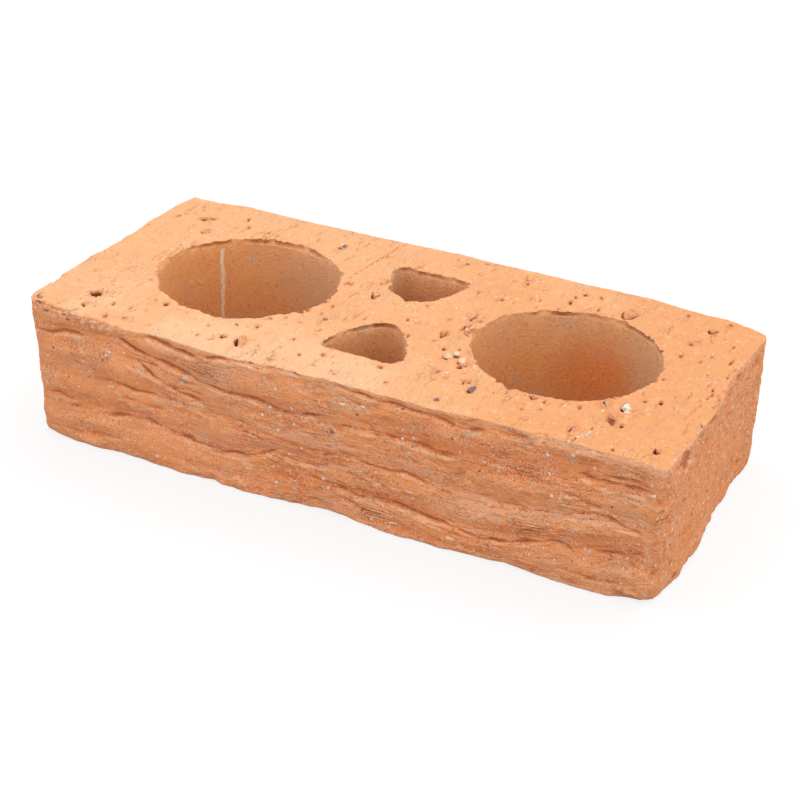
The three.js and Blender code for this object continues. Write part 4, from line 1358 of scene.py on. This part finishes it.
class Clay(Shader):
    """Fired clay: paler on the wire-cut beds, redder on the rusticated skin, dull in the cores."""

    def __init__(self):
        super().__init__("terracotta")
        self.where = self.place()
        self.along, self.across, self.height = self.where.parts()
        inner_bed, self.core, rim = self.attribute("kind").parts()
        self.layer = self.attribute("layer")
        self.fine, self.broad, self.groove = self.attribute("hollow").parts()
        marked, self.patch, self.ends = self.attribute("marks").parts()
        self.pad, self.lined = (marked * -1.0).above(0.0), marked.above(0.0)
        self.clouds = self.noise(self.where, 0.035, 3.0, 0.6)
        self.mottle = self.noise(self.where, 0.22, 4.0, 0.62)
        self.grain = self.noise(self.where, 0.95, 3.0, 0.65)
        self.fines = self.noise(self.where, 2.6, 2.0, 0.6)
        self.level = self.height + (self.mottle - 0.5) * 1.4
        rim_bed = self.level.ramp(HEIGHT - 0.75, HEIGHT - 0.5).above(self.level.ramp(0.9, 0.6))
        self.bed = rim * rim_bed + (1.0 - rim) * inner_bed
        self.outside = 1.0 - self.core
        self.skin = (1.0 - self.bed) * self.outside
        self.off_pads = 1.0 - self.pad * 0.6
        self.draw_lines()

        colour = self.skin_colour().toward(self.core_colour(), self.core).toward(self.bed_colour(), self.bed)
        for step in (self.shade_and_wear, self.ruled, self.grained, self.speckled, self.grooved):
            colour = step(colour)
        self.finish(colour, self.mottle.ramp(0.3, 0.7, *CLAY_ROUGHNESS), CLAY_SPECULAR, self.relief())

    def draw_lines(self):
        """Lines and spots that show both in the colour and in the relief."""
        mottle, slanted = self.mottle, self.noise(self.where, (0.16, 0.05, 0.1), 2.0)
        threaded = self.skin * (1.0 - self.ends * 0.7) * self.off_pads
        threaded = threaded * self.along.ramp(-90.0, 0.0, 0.10, 0.75)
        self.strokes = self.noise(self.layer, (0.045, 0.045, 0.26), 4.0, 0.6, 0.5)
        self.wiped = self.noise(self.where, (1.1, 0.10, 1.0), 3.0, 0.6)
        self.lines = self.noise(self.layer, (0.10, 0.10, 1.7), 2.0, 0.6, 0.3)
        pale_lines = self.threads(self.layer, (0.060, 0.060, 0.30), 0.020, mottle.ramp(0.42, 0.55))
        dark_lines = self.threads(self.layer, (0.040, 0.060, 0.34), 0.014, mottle.ramp(0.52, 0.42))
        scores = self.threads(self.where, (0.50, 0.085, 0.3), 0.012, slanted.ramp(0.57, 0.64))
        scuffs = self.threads(self.where, (0.40, 0.095, 0.3), 0.016, slanted.ramp(0.43, 0.36))
        self.pale_lines, self.dark_lines = pale_lines * threaded, dark_lines * threaded
        self.scores, self.scuffs = scores * self.bed, scuffs * self.bed
        blue, _ = self.specks(self.where, 0.62, 0.80, 0.32)
        blue = blue * mottle.ramp(0.36, 0.50) * (1.0 - self.bed * 0.85) * self.outside
        self.blue = blue * self.off_pads * (1.0 - self.ends * 0.45)

    def bed_colour(self):
        """Orange, paler to the left and at the front, wiped along the cut, and redder in and round its marks.
        """
        to_right = self.along * 0.004 + self.clouds
        colour = self.mix(to_right.ramp(0.30, 0.82), BED_PALE, BED_ORANGE)
        colour = colour.under(
            (BED_DUST, self.mottle, 0.52, 0.72, 0.3), (BED_RED, self.mottle, 0.45, 0.28, 0.22),
            (BED_DUST, self.wiped, 0.55, 0.75, 0.18), (BED_RED, self.wiped, 0.42, 0.25, 0.18),
        )
        dusty = self.across.ramp(-12.0, -42.0) * self.along.ramp(60.0, 25.0) * self.clouds.ramp(0.35, 0.6)
        colour = colour.toward(BED_DUST, dusty * 0.5)
        return colour.toward(BED_RED, self.patch * self.grain.ramp(0.25, 0.6, 0.45, 0.85))

    def skin_colour(self):
        """Red, in strokes and in bands that climb along the face, with what dulls, stains and rubs it, a pale
        upper arris that is part wear and part painted highlight, and a painted contact shadow along the foot.
        """
        streaked = self.strokes.ramp(0.55, 0.30) * (1.0 - self.ends * 0.8)
        colour = self.mix(streaked, SKIN_CLAY, SKIN_DEEP)
        climb = {"X": self.along * 0.012, "Z": (self.layer.parts()[2] + self.along * -0.045) * 0.125}
        bands = self.noise(self.output("ShaderNodeCombineXYZ", climb), 1.0, 2.0, 0.5, 0.25)
        banded = (1.0 - self.ends) * self.off_pads * self.along.ramp(-70.0, 0.0, 0.4, 1.0)
        colour = colour.under(
            (SKIN_PALE, self.mottle, 0.54, 0.75, 0.6), (SKIN_DEEP, self.mottle, 0.44, 0.25, 0.5),
            (SKIN_TAN, self.clouds, 0.50, 0.70, 0.35),
            (SKIN_PALE, bands, 0.51, 0.62, 0.60, banded), (SKIN_DEEP, bands, 0.49, 0.38, 0.62, banded),
        )
        haze = self.noise(self.layer, (0.07, 0.07, 0.16), 4.0, 0.65, 0.6).ramp(0.50, 0.62)
        haze = haze * self.grain.ramp(0.35, 0.6, 0.5, 1.0) * self.off_pads
        haze = haze * self.along.ramp(40.0, -40.0, 0.45, 1.0) * (1.0 - self.ends * 0.4)
        far_off = self.along.ramp(-60.0, -105.0, 0.0, 0.45) + self.along.ramp(60.0, 105.0, 0.0, 0.18)
        smears = self.ends * self.noise(self.where, 0.34, 4.0, 0.75, 0.8).ramp(0.53, 0.60)
        stains = self.ends * self.noise(self.where, 0.30, 4.0, 0.75, 0.8).ramp(0.47, 0.38)
        # Pale along the upper arris of the front's right part and of the ends: part wear from rubbing, part
        # painted highlight where the edge turns up to the light.
        rubbed_and_lit = self.level.ramp(47.6, 49.0) * self.along.ramp(40.0, 75.0) * self.across.ramp(-40.0, -46.0)
        rubbed_and_lit = rubbed_and_lit.above(self.ends * self.level.ramp(46.6, 48.8) * self.clouds.ramp(0.42, 0.55))
        # A dark line painted along the foot of the front: a painted contact shadow.
        foot = self.level.ramp(1.5, 0.5) * self.across.ramp(-40.0, -46.0) * self.strokes.ramp(0.35, 0.6)
        for tone, share in (
            (HAZE, haze * 0.42),
            (SKIN_FAR, far_off * (1.0 - self.ends)),
            (SKIN_END, self.ends * 0.3),
            (RUBBED_AND_LIT, smears * self.clouds.ramp(0.38, 0.52) * 0.45),
            (SKIN_DEEP, stains * self.height.ramp(30.0, 46.0, 0.5, 1.0) * 0.45),
            (SKIN_CLAY, self.pad * 0.55),
            (EARTH, self.patch * self.grain.ramp(0.3, 0.6, 0.15, 0.55)),
            (RUBBED_AND_LIT, rubbed_and_lit * 0.45),
            (FOLD, foot * 0.7),
        ):
            colour = colour.toward(tone, share)
        return colour

    def core_colour(self):
        """Orange, dull to the left but for the left part of the left core, kept orange as painted light, and
        dull high up on the right, with a painted shade deep in the right core, a pale run and faint blots.
        """
        along, in_right = self.along, self.along.ramp(20.0, 26.0)
        # The left part of the left core stays orange while the rest of it goes dull: painted light, where the
        # sky lights that wall more.
        dull = along.ramp(-74.0, -42.0) + along.ramp(20.0, 26.0, 0.0, -1.0) + along.ramp(62.0, 86.0, 0.0, 0.7)
        dull = dull + in_right * self.height.ramp(24.0, 42.0, 0.25, 0.85)
        dull = dull + along.ramp(-20.0, -14.0) * along.ramp(24.0, 18.0) * -0.3
        dull = dull + in_right * along.ramp(54.0, 34.0) * -0.25 + self.clouds.ramp(0.35, 0.65, -0.3, 0.3)
        colour = self.mix(self.math("MAXIMUM", dull, 0.0, clamp=True), CORE_CLAY, CORE_DULL)
        # Painted shade: darker and redder deep in the right core.
        ends = {0: self.where, 1: CORE_SHADE_PLACE}
        core_shade_edge = self.output("ShaderNodeVectorMath", ends, "Value", operation="DISTANCE")
        core_shade_edge = core_shade_edge + self.mottle * 12.0
        colour = colour.under((SKIN_PALE, self.mottle, 0.5, 0.8, 0.4),
                              (CORE_SHADE_RED, core_shade_edge, CORE_SHADE_REACH + 9.0, CORE_SHADE_REACH - 9.0, 0.8))
        blots, _ = self.specks(self.where, 0.20, 0.34, 0.45, 0.25)
        return colour.toward(SPECK_PALE, self.pale_run()).toward(SPECK_BLUE, blots * 0.26)

    def pale_run(self):
        """Share of the pale run, which wavers on its way down the wall."""
        off_x, off_y = self.along - RUN[0], self.across - RUN[1]
        waver = (self.noise(self.where, (0.0, 0.0, 0.2)) - 0.5) * 2.4
        aslant = off_x * RUN_FACING[0] + off_y * RUN_FACING[1] + waver
        off = (abs(off_x) ** 2.0 + abs(off_y) ** 2.0) ** 0.5
        edge = (off * 0.25).above(abs(aslant)) + (0.5 - self.grain) * 1.6
        run = edge.ramp(RUN_REACH + 0.2, RUN_REACH - 0.2) * self.height.ramp(16.0, 20.0)
        return run * self.height.ramp(47.5, 46.0) * self.mottle.ramp(0.3, 0.5, 0.5, 0.9)

    def shade_and_wear(self, colour):
        """Painted shade deeper in the hollows, and paler on what stands out, part wear from rubbing and part
        painted highlight, but for the upright corners.
        """
        corner = abs(self.along).ramp(104.0, 107.5)
        shade_and_wear = self.outside * (1.0 - self.bed * 0.5) * self.broad.ramp(-1.0, -0.5, 0.25, 1.0)
        shade_and_wear = shade_and_wear * (1.0 - corner * self.skin * 0.9)
        rubbed_and_lit = shade_and_wear * self.grain.ramp(0.38, 0.60, 0.35, 1.0)
        return colour.under(
            (SKIN_DEEP, self.fine, 0.01, 0.10, 0.48, shade_and_wear),
            (SKIN_PALE, self.fine, -0.01, -0.10, 0.52, rubbed_and_lit),
            (SKIN_DEEP, self.broad, 0.03, 0.42, 0.85, self.skin),
            (SKIN_PALE, self.broad, -0.04, -0.36, 0.62, self.skin, rubbed_and_lit),
        )

    def ruled(self, colour):
        """With the threads of the skin, the scratches of the bed, the fine lining of some patches, and dark
        hatching only in the broad hollows, part lining and part painted shade.
        """
        # The hatching keeps to the broad hollows, where it is partly painted shade.
        hatched = self.lines.ramp(0.49, 0.42) * self.broad.ramp(0.05, 0.30) * (1.0 - self.lined)
        for tone, share in (
            (SKIN_PALE, self.pale_lines * 0.8),
            (FOLD, self.dark_lines * 0.5),
            (BED_RED, self.scores * 0.5),
            (SPECK_PALE, self.scuffs * 0.5),
            (FOLD, self.lined * self.lines.ramp(0.50, 0.40) * 0.7),
            (FOLD, hatched * (1.0 - self.ends) * self.skin * 0.45),
        ):
            colour = colour.toward(tone, share)
        return colour

    def grained(self, colour):
        """With the sandy grain, darker and paler, coarse and then fine."""
        gritty = self.noise(self.where, 0.11, 3.0, 0.6, 0.3).ramp(0.42, 0.58, 0.40, 1.20)
        coarse = self.mix(self.skin, 1.0 - self.bed * 0.5, gritty)
        fine = coarse * self.outside * (1.0 + self.skin * 0.25)
        colour = colour.toward(BED_RED, self.grain.ramp(0.44, 0.26, 0.0, 0.6) * coarse, "MULTIPLY")
        colour = colour.toward(BED_DUST, self.grain.ramp(0.56, 0.74, 0.0, 0.5) * coarse)
        colour = colour.toward(BED_RED, self.fines.ramp(0.46, 0.30, 0.0, 0.68) * fine, "MULTIPLY")
        return colour.toward(BED_DUST, self.fines.ramp(0.54, 0.70, 0.0, 0.58) * fine)

    def speckled(self, colour):
        """With blue grit, pale and dark dots, and the flecks of the ends."""
        dots, hue = self.specks(self.where, 0.75, 0.35, 0.34)
        dots = dots * self.core.ramp(0.0, 1.0, 0.45, 0.10) * (1.0 + self.ends * 0.7)
        dots_colour = self.mix(hue.ramp(0.10, 0.14), SPECK_DARK, SPECK_PALE)
        flecks, hue = self.specks(self.where, 0.46, 0.72, 0.42, 0.08)
        flecks = flecks * self.ends * self.skin * self.grain.ramp(0.30, 0.55, 0.4, 1.0)
        flecks_colour = self.mix(hue.ramp(0.28, 0.32), FOLD, SKIN_DEEP).toward(RUBBED_AND_LIT, hue.ramp(0.62, 0.66))
        colour = colour.toward(SPECK_BLUE, self.blue * 0.75).toward(dots_colour, dots)
        return colour.toward(flecks_colour, flecks * 0.8)

    def grooved(self, colour):
        """With pale crests, part pale patches and part painted highlight on the lips of folds and ridges, and
        painted shade in the grooves, folds, pits and hollows under the core rims, all ragged at the edge.
        """
        ragged = (self.grain - 0.5) * 1.1 + (self.fines - 0.5) * 0.5
        crest, cut = self.groove + ragged * -0.6, self.groove + ragged * 0.5
        return colour.under(
            (SKIN_PALE, crest, -0.12, -0.5, 0.6, self.skin), (FOLD, cut, 0.05, 0.5, 0.35, self.skin),
            (FOLD, cut, 0.45, 0.75, 0.4, self.skin), (FOLD, cut, 0.1, 0.6, 0.5, self.core),
            (BED_RED, cut, 0.02, 0.25, 0.6, self.bed), (SHADE, cut, 0.30, 0.55, 0.95, self.bed),
        )

    def relief(self):
        """What stands out finer than the mesh, in millimetres."""
        relief = self.grain * 0.55 + self.fines * 0.18 + self.lines * (self.lined * 0.5 + 0.12) * self.skin
        relief = relief + self.pale_lines * 0.45 + self.dark_lines * -0.35 + self.wiped * 0.28 * self.bed
        return relief + self.scores * -0.4 + self.scuffs * 0.25 + self.blue * 0.08


def stone_material():
    """Grit and clods: each one's own tint, mottled."""
    shader = Shader("grit")
    mottle = shader.noise(shader.place(), 1.3, 3.0, 0.6)
    colour = shader.attribute("tint").toward(CORE_CLAY, mottle.ramp(0.40, 0.65, 0.0, 0.2))
    roughness = mottle.ramp(0.3, 0.7, *GRIT_ROUGHNESS)
    return shader.finish(colour, roughness, GRIT_SPECULAR, mottle, GRIT_BUMP * MM)


def make_object(name, mesh, material):
    made = bpy.data.objects.new(name, mesh)
    bpy.context.scene.collection.objects.link(made)
    mesh.materials.clear()
    mesh.materials.append(material)
    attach(made, "root")
    return made


def make_body():
    mesh = voxel_mesh()
    shape_body(mesh, Mouths(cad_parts[NODE]))
    mesh = collapse(mesh, MOST_TRIANGLES)
    points = read_points(mesh)
    points[:, 2] = np.maximum(points[:, 2], 0.0)
    write_points(mesh, points)
    mesh.name = "brick_body"
    mesh.shade_smooth()
    mesh.set_sharp_from_angle(angle=math.radians(SHARP_ANGLE))
    print("body triangles", sum(len(face.vertices) - 2 for face in mesh.polygons))
    body = make_object("brick_body", mesh, Clay().material)
    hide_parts(NODE)
    return body


# ---------------------------------------------------------------- grit and clods

TINTS = {
    "white": (0.66, 0.55, 0.46), "bright": (0.80, 0.76, 0.68), "cream": (0.78, 0.58, 0.38),
    "grey": (0.16, 0.14, 0.14), "blue": (0.24, 0.29, 0.34), "red": (0.38, 0.10, 0.04),
    "pink": (0.50, 0.22, 0.15), "black": (0.02, 0.02, 0.035), "clay": (0.58, 0.25, 0.11),
    "silver": (0.66, 0.71, 0.71), "earth": (0.14, 0.08, 0.06),
}

# Grit in the upper bed: place along and across, half sizes, how proud, tint, lean in degrees.
BED_STONES = (
    (-28.6, -10.0, 1.4, 1.5, 1.0, "bright", 0), (-27.7, -12.6, 0.8, 0.7, 0.4, "red", 0),
    (-25.5, -4, 0.9, 1.0, 0.4, "red", 0), (-35.4, -41.8, 1.1, 2.9, 0.5, "clay", 22),
    (-42.7, -33, 0.8, 0.6, 0.4, "grey", 0), (-42, -33.6, 0.4, 0.3, 0.2, "blue", 0),
    (-8.6, -37.8, 0.6, 1.1, 0.4, "pink", 20), (18.5, -4.6, 0.7, 1.7, 0.4, "clay", 0),
    (27.9, -16.0, 1.1, 1.5, 0.9, "white", 25), (27.5, -12.9, 0.6, 0.5, 0.4, "red", 0),
    (26.0, -18.8, 1.7, 1.5, 1.0, "cream", 35), (31.5, -19.6, 1.3, 2.7, 0.9, "cream", 8),
    (30.3, -28.6, 0.8, 0.8, 0.3, "bright", 0), (30, -27.6, 0.3, 0.3, 0.2, "grey", 0),
    (36, -20.5, 0.7, 0.9, 0.2, "cream", 0), (27.3, -29.8, 0.7, 1.4, 0.3, "pink", -15),
    (41.8, -34.8, 1.0, 2.3, 0.9, "grey", 5), (34.7, -46.3, 1.2, 1.2, 0.7, "grey", 0),
    (20.2, -36.8, 0.6, 0.5, 0.15, "white", 0), (7, -49.5, 0.5, 0.8, 0.2, "white", 0),
    (80.4, -21.4, 0.6, 0.9, 0.7, "blue", 10), (81.6, -27.2, 0.7, 1.3, 0.3, "white", 0),
    (87.8, -22.4, 1.6, 2.3, 1.5, "bright", 20), (88.4, -24.6, 1.3, 1.4, 0.9, "cream", 20),
    (89.4, -26.6, 0.7, 1.0, 0.3, "cream", 20), (82.7, -41.7, 0.7, 1.0, 0.5, "white", 0),
    (82.4, -43.4, 0.8, 0.8, 0.5, "white", 0), (81.9, -45, 0.6, 0.6, 0.4, "white", 0),
    (80.8, -46, 0.6, 0.7, 0.5, "white", 0), (82.6, -39, 0.4, 0.8, 0.3, "grey", 0),
    (79.4, -49.5, 0.5, 1.0, 0.3, "white", 0), (78, -41.7, 1.0, 1.5, 0.3, "pink", 0),
    (71.3, -41.6, 0.6, 0.6, 0.15, "white", 0), (64.8, -36, 0.7, 0.6, 0.3, "grey", 0),
    (70.3, -30, 1.0, 1.5, 0.15, "cream", 0), (94.8, -22.6, 0.7, 0.5, 0.3, "white", 0),
    (100.8, -18.3, 0.6, 0.8, 0.2, "white", 0), (100, -16.4, 0.3, 0.9, 0.2, "white", 0),
    (66.7, 40.3, 1.6, 1.8, 0.5, "pink", 0), (85.5, 37.5, 1.5, 2.0, 0.2, "pink", 0),
    (84.2, 23, 0.5, 0.9, 0.2, "white", 0), (99.8, 24.8, 0.4, 1.0, 0.4, "white", 0),
    (-0.5, 6.8, 0.5, 1.2, 0.3, "white", 0), (30.4, 46, 0.6, 1.3, 0.3, "white", 0),
    (34.2, 35.6, 0.5, 1.7, 0.3, "white", 20), (0.8, 42, 0.5, 1.0, 0.2, "cream", 0),
    (-41.2, 39.2, 0.8, 1.3, 0.4, "white", 0), (-39.5, 37.8, 0.8, 1.2, 0.4, "grey", 0),
    (-64.7, 33.8, 0.9, 1.1, 0.2, "pink", 0), (-88, 25.8, 1.2, 1.5, 0.3, "pink", 0),
    (-86.5, 12, 0.9, 1.2, 0.2, "pink", 0), (-26, 14.3, 0.5, 0.6, 0.4, "white", 0),
    (-14.3, 20.2, 0.8, 1.4, 0.4, "clay", 0), (-7.7, 7.5, 0.3, 1.6, 0.2, "white", 0),
    (-19.2, 3.5, 0.5, 0.5, 0.2, "cream", 0), (48.2, 45.3, 1.1, 1.2, 0.15, "black", 0),
    (26.1, 29.7, 0.4, 1.4, 0.2, "white", 0), (24.7, 2.8, 0.6, 0.8, 0.5, "cream", 0),
    (24.2, 0.5, 0.9, 0.5, 0.5, "white", 0), (25.3, -0.6, 0.5, 0.5, 0.4, "grey", 0),
    (-93, -43.5, 0.8, 0.8, 0.2, "pink", 0), (-93.4, -16, 0.6, 0.9, 0.15, "pink", 0),
    (-107.3, -50.4, 1.2, 0.4, 0.4, "earth", -15), (-105.1, -51.6, 0.5, 0.4, 0.4, "blue", 0),
    (-103.6, -52.1, 1.1, 0.3, 0.4, "earth", 10), (-101.0, -51.4, 0.4, 0.3, 0.3, "earth", 0),
    (-99.2, -52.3, 1.0, 0.5, 0.4, "blue", -10), (-96.6, -51.9, 0.5, 0.4, 0.4, "earth", 0),
    (-94.8, -52.6, 0.9, 0.3, 0.4, "earth", 15), (-109.6, -47.5, 0.3, 1.0, 0.3, "earth", 10),
    (104.3, 6.0, 1.3, 0.5, 0.15, "white", 32), (106.4, 7.4, 1.1, 0.45, 0.15, "white", 28),
)

# Grit in the front face: tint, half sizes, then places along the face and up it.
FRONT_STONES = (
    ("silver", 0.6, 0.5, (-12.8, 36.3), (-20.7, 34.6), (-2.1, 13.7), (-26.7, 46.8), (25.9, 36.4),
     (73.2, 44.7), (74, 38.2), (78.5, 41), (76, 31), (98.6, 45.6), (99.9, 42.8), (-14.5, 19.2),
     (-10, 22.5), (-18, 7.5), (-19, 13.2), (-17.5, 27.2), (0, 11)), ("grey", 1.0, 0.7, (26, 46.2)),
    ("silver", 1.2, 0.4, (5.7, 42.8), (12.5, 43.8)), ("silver", 0.6, 0.5, (-23, 31)),
    ("silver", 0.5, 0.4, (-17, 32.5), (-12, 30.8), (26.2, 39.7), (29.3, 37.8), (45, 37.5)),
    ("silver", 0.6, 0.4, (16.2, 4)), ("silver", 1.8, 0.35, (23.5, 5)), ("silver", 2.0, 0.3, (29.5, 18)),
    ("silver", 0.6, 0.4, (80, 17.5), (74.5, 12), (100.5, 7.2), (107.5, 40.5), (-79, 38.5), (-62.5, 4.2),
     (-95, 11.8), (-92, 22.5)), ("white", 1.3, 0.7, (-51, 36.5)), ("pink", 2.4, 0.5, (66, 46.3)),
    ("earth", 0.5, 0.5, (-100.7, 34.7), (10.6, 40.6), (42.7, 41.3), (52, 32.5), (12.7, 6.3), (94.7, 32.9),
     (105.7, 34.3)), ("earth", 0.5, 0.4, (81.2, 29.6)), ("earth", 0.6, 0.5, (-87.5, 45.5)),
    ("grey", 1.0, 0.7, (1.6, 32)), ("white", 0.8, 0.7, (81.3, 47)), ("cream", 0.6, 1.0, (88, 44.5)),
    ("cream", 1.2, 0.6, (43, 5.3)), ("silver", 0.6, 0.5, (-17.7, 41.8)),
    ("silver", 0.5, 0.8, (-80.3, 37.0)), ("earth", 0.7, 0.4, (-81.4, 35.2)),
)

# What the half sizes of that grit are multiplied by, and how proud it is, as a share of the smaller one.
FRONT_STONE_SWELL = 1.35
FRONT_STONE_PROUD = 0.4

# How far under the bed a stone may sit: on the bed, and in front of its edge, in the worn rim.
BED_STONE_SUNK = 0.2
RIM_STONE_SUNK = 3.0
BED_FRONT = -50.0

# Small grit at random: side of the brick, number, and reach of the half sizes.
SMALL_GRIT = (
    ("top", 150, 0.22, 0.5), ("front", 260, 0.2, 0.42), ("back", 240, 0.2, 0.42), ("right", 90, 0.2, 0.5),
    ("left", 90, 0.2, 0.5), ("under", 90, 0.25, 0.5),
)
SMALL_TINTS = ("silver", "white", "cream", "grey", "silver", "white", "earth", "pink")


def unit_hulls(count, corners, seed):
    """Small faceted shapes that fit in a ball of radius 1, as points and triangles."""
    random = np.random.default_rng(seed)
    made = []
    for _ in range(count):
        scratch = bmesh.new()
        for place in random.normal(size=(corners, 3)):
            scratch.verts.new(place / np.linalg.norm(place) * random.uniform(0.85, 1.0))
        bmesh.ops.convex_hull(scratch, input=scratch.verts)
        bmesh.ops.triangulate(scratch, faces=scratch.faces)
        scratch.verts.index_update()
        made.append((np.array([vertex.co[:] for vertex in scratch.verts]),
                     np.array([[vertex.index for vertex in face.verts] for face in scratch.faces])))
        scratch.free()
    return made


class Grit:
    """Gathers small stones, each seated on the body, into one mesh."""

    # For each side: the way in, and the directions that a stone's first and second half sizes lie along.
    SIDES = {
        "top": ((0, 0, -1), (1, 0, 0), (0, 1, 0)), "under": ((0, 0, 1), (1, 0, 0), (0, 1, 0)),
        "front": ((0, 1, 0), (1, 0, 0), (0, 0, 1)), "back": ((0, -1, 0), (1, 0, 0), (0, 0, 1)),
        "right": ((-1, 0, 0), (0, 1, 0), (0, 0, 1)), "left": ((1, 0, 0), (0, 1, 0), (0, 0, 1)),
    }
    FAR = 200.0
    SWELL = 1.15
    HULLS = 12
    HULL_CORNERS = 16

    def __init__(self, body):
        mesh = body.data
        self.tree = BVHTree.FromPolygons([vertex.co / MM for vertex in mesh.vertices],
                                         [face.vertices for face in mesh.polygons])
        self.hulls = unit_hulls(self.HULLS, self.HULL_CORNERS, 400)
        self.random = np.random.default_rng(401)
        self.points, self.faces, self.tints, self.count = [], [], [], 0

    def add(self, side, first, second, half_first, half_second, proud, tint, lean=0.0, level=None):
        inward, one, two = (np.array(axis, float) for axis in self.SIDES[side])
        start = one * first + two * second - inward * self.FAR
        hit, normal, _, _ = self.tree.ray_cast(Vector(start), Vector(inward))
        if side == "front" and hit is not None:
            start = start - two * SEEN_RISE * (hit.y - FRONT_PLANE)
            hit, normal, _, _ = self.tree.ray_cast(Vector(start), Vector(inward))
        if hit is None or (level is None and normal.dot(Vector(inward)) > -0.6):
            return
        if level is not None:
            hit.z = max(hit.z, level)
        if side == "under":
            hit.z = max(hit.z, proud + 0.05)
        turn = math.radians(lean)
        along = one * math.cos(turn) + two * math.sin(turn)
        across = two * math.cos(turn) - one * math.sin(turn)
        thick = max(0.8 * min(half_first, half_second), 0.7 * proud)
        points, faces = self.hulls[self.random.integers(len(self.hulls))]
        points = points * self.SWELL
        centre = np.array(hit) - inward * (proud - thick)
        placed = centre + (points[:, :1] * along * half_first + points[:, 1:2] * across * half_second
                           - points[:, 2:] * inward * thick)
        if np.linalg.det(np.array((along, across, -inward))) < 0:
            faces = faces[:, ::-1]
        self.points.append(placed)
        self.faces.append(faces + self.count)
        shade = np.array(TINTS[tint]) * self.random.uniform(0.9, 1.1)
        self.tints.append(np.tile(shade, (len(points), 1)))
        self.count += len(points)

    def scatter(self, side, number, smallest, biggest):
        for _ in range(number):
            size = smallest + (biggest - smallest) * (1.0 - self.random.power(2.5))
            first = self.random.uniform(*((-49, 49) if side in ("left", "right") else (-107, 107)))
            second = self.random.uniform(*((-50, 50) if side in ("top", "under") else (3, 47)))
            self.add(side, first, second, size, size * self.random.uniform(0.6, 1.2), 0.35 * size,
                     SMALL_TINTS[self.random.integers(len(SMALL_TINTS))])

    def object(self):
        mesh = bpy.data.meshes.new("brick_grit")
        mesh.from_pydata(np.concatenate(self.points) * MM, [], np.concatenate(self.faces).tolist())
        add_attribute(mesh, "tint", np.clip(np.concatenate(self.tints), 0.0, 1.0))
        mesh.validate()
        print("grit triangles", len(mesh.polygons))
        return make_object("brick_grit", mesh, stone_material())


def make_grit(body):
    grit = Grit(body)
    for x, y, half_x, half_y, proud, tint, lean in BED_STONES:
        lowest = HEIGHT - (BED_STONE_SUNK if y > BED_FRONT else RIM_STONE_SUNK)
        grit.add("top", x, y, half_x, half_y, proud, tint, lean, lowest)
    for tint, half_x, half_z, *places in FRONT_STONES:
        proud = FRONT_STONE_PROUD * min(half_x, half_z)
        for x, z in places:
            grit.add("front", x, z, FRONT_STONE_SWELL * half_x, FRONT_STONE_SWELL * half_z, proud, tint)
    for kind in SMALL_GRIT:
        grit.scatter(*kind)
    return grit.object()


# ---------------------------------------------------------------- floor, light and camera

CAMERA_PLACE = (243.5, -534.3, 346.4)
CAMERA_TURN = (60.738, -2.256, 25.628)
LENS = 89.74
SENSOR_WIDTH = 36.0

SKY_STRENGTH = 1.2
SUN_STRENGTH = 0.5
SUN_SOFTNESS = 30.0
SUN_HEIGHT = 62.0
SUN_BEARING = 60.0
FLOOR_SEEN = 0.88
FLOOR_LIT = 0.5
FLOOR_PLAIN = 0.8
FLOOR_HALF_SIZE = 4.0


def make_camera():
    data = bpy.data.cameras.new("camera")
    data.lens = LENS
    data.sensor_width = SENSOR_WIDTH
    camera = bpy.data.objects.new("camera", data)
    camera.location = Vector(CAMERA_PLACE) * MM
    camera.rotation_euler = Euler([math.radians(angle) for angle in CAMERA_TURN])
    bpy.context.scene.collection.objects.link(camera)
    bpy.context.scene.camera = camera


def make_floor():
    """White table. The camera sees it partly as plain white, so it keeps a light shadow."""
    corners = [(x * FLOOR_HALF_SIZE, y * FLOOR_HALF_SIZE, 0) for x, y in ((-1, -1), (1, -1), (1, 1), (-1, 1))]
    mesh = bpy.data.meshes.new("floor")
    mesh.from_pydata(corners, [], [(0, 1, 2, 3)])
    floor = bpy.data.objects.new("floor", mesh)
    bpy.context.scene.collection.objects.link(floor)
    shader = Shader("table_white")
    seen = shader.seen()
    colour = shader.mix(seen, (FLOOR_LIT,) * 3, (FLOOR_SEEN,) * 3)
    mesh.materials.append(shader.finish(colour, TABLE_ROUGHNESS, 0.0))
    lit = Field(shader, shader.bsdf.outputs[0])
    plain = shader.output("ShaderNodeEmission", {"Strength": 1.0})
    blend = {0: seen * FLOOR_PLAIN, 1: lit, 2: plain}
    shader.feed(shader.surface, shader.output("ShaderNodeMixShader", blend))


def make_light():
    """Even white sky with one soft sun from behind on the right."""
    world = bpy.data.worlds.new("studio")
    bpy.context.scene.world = world
    world.use_nodes = True
    nodes = Nodes(world.node_tree)
    sky = world.node_tree.nodes["Background"].inputs
    strength = {"Value": nodes.seen(), "To Min": SKY_STRENGTH, "To Max": 1.0}
    nodes.feed(sky["Color"], (1.0, 1.0, 1.0))
    nodes.feed(sky["Strength"], nodes.output("ShaderNodeMapRange", strength, "Result"))
    data = bpy.data.lights.new("sun", "SUN")
    data.energy = SUN_STRENGTH
    data.angle = math.radians(SUN_SOFTNESS)
    sun = bpy.data.objects.new("sun", data)
    bearing, height = math.radians(SUN_BEARING), math.radians(SUN_HEIGHT)
    flat = math.cos(height)
    toward = Vector((math.cos(bearing) * flat, math.sin(bearing) * flat, math.sin(height)))
    sun.rotation_euler = toward.to_track_quat("Z", "Y").to_euler()
    bpy.context.scene.collection.objects.link(sun)


bpy.context.scene.view_settings.view_transform = "Standard"
make_camera()
make_floor()
make_light()
make_grit(make_body())
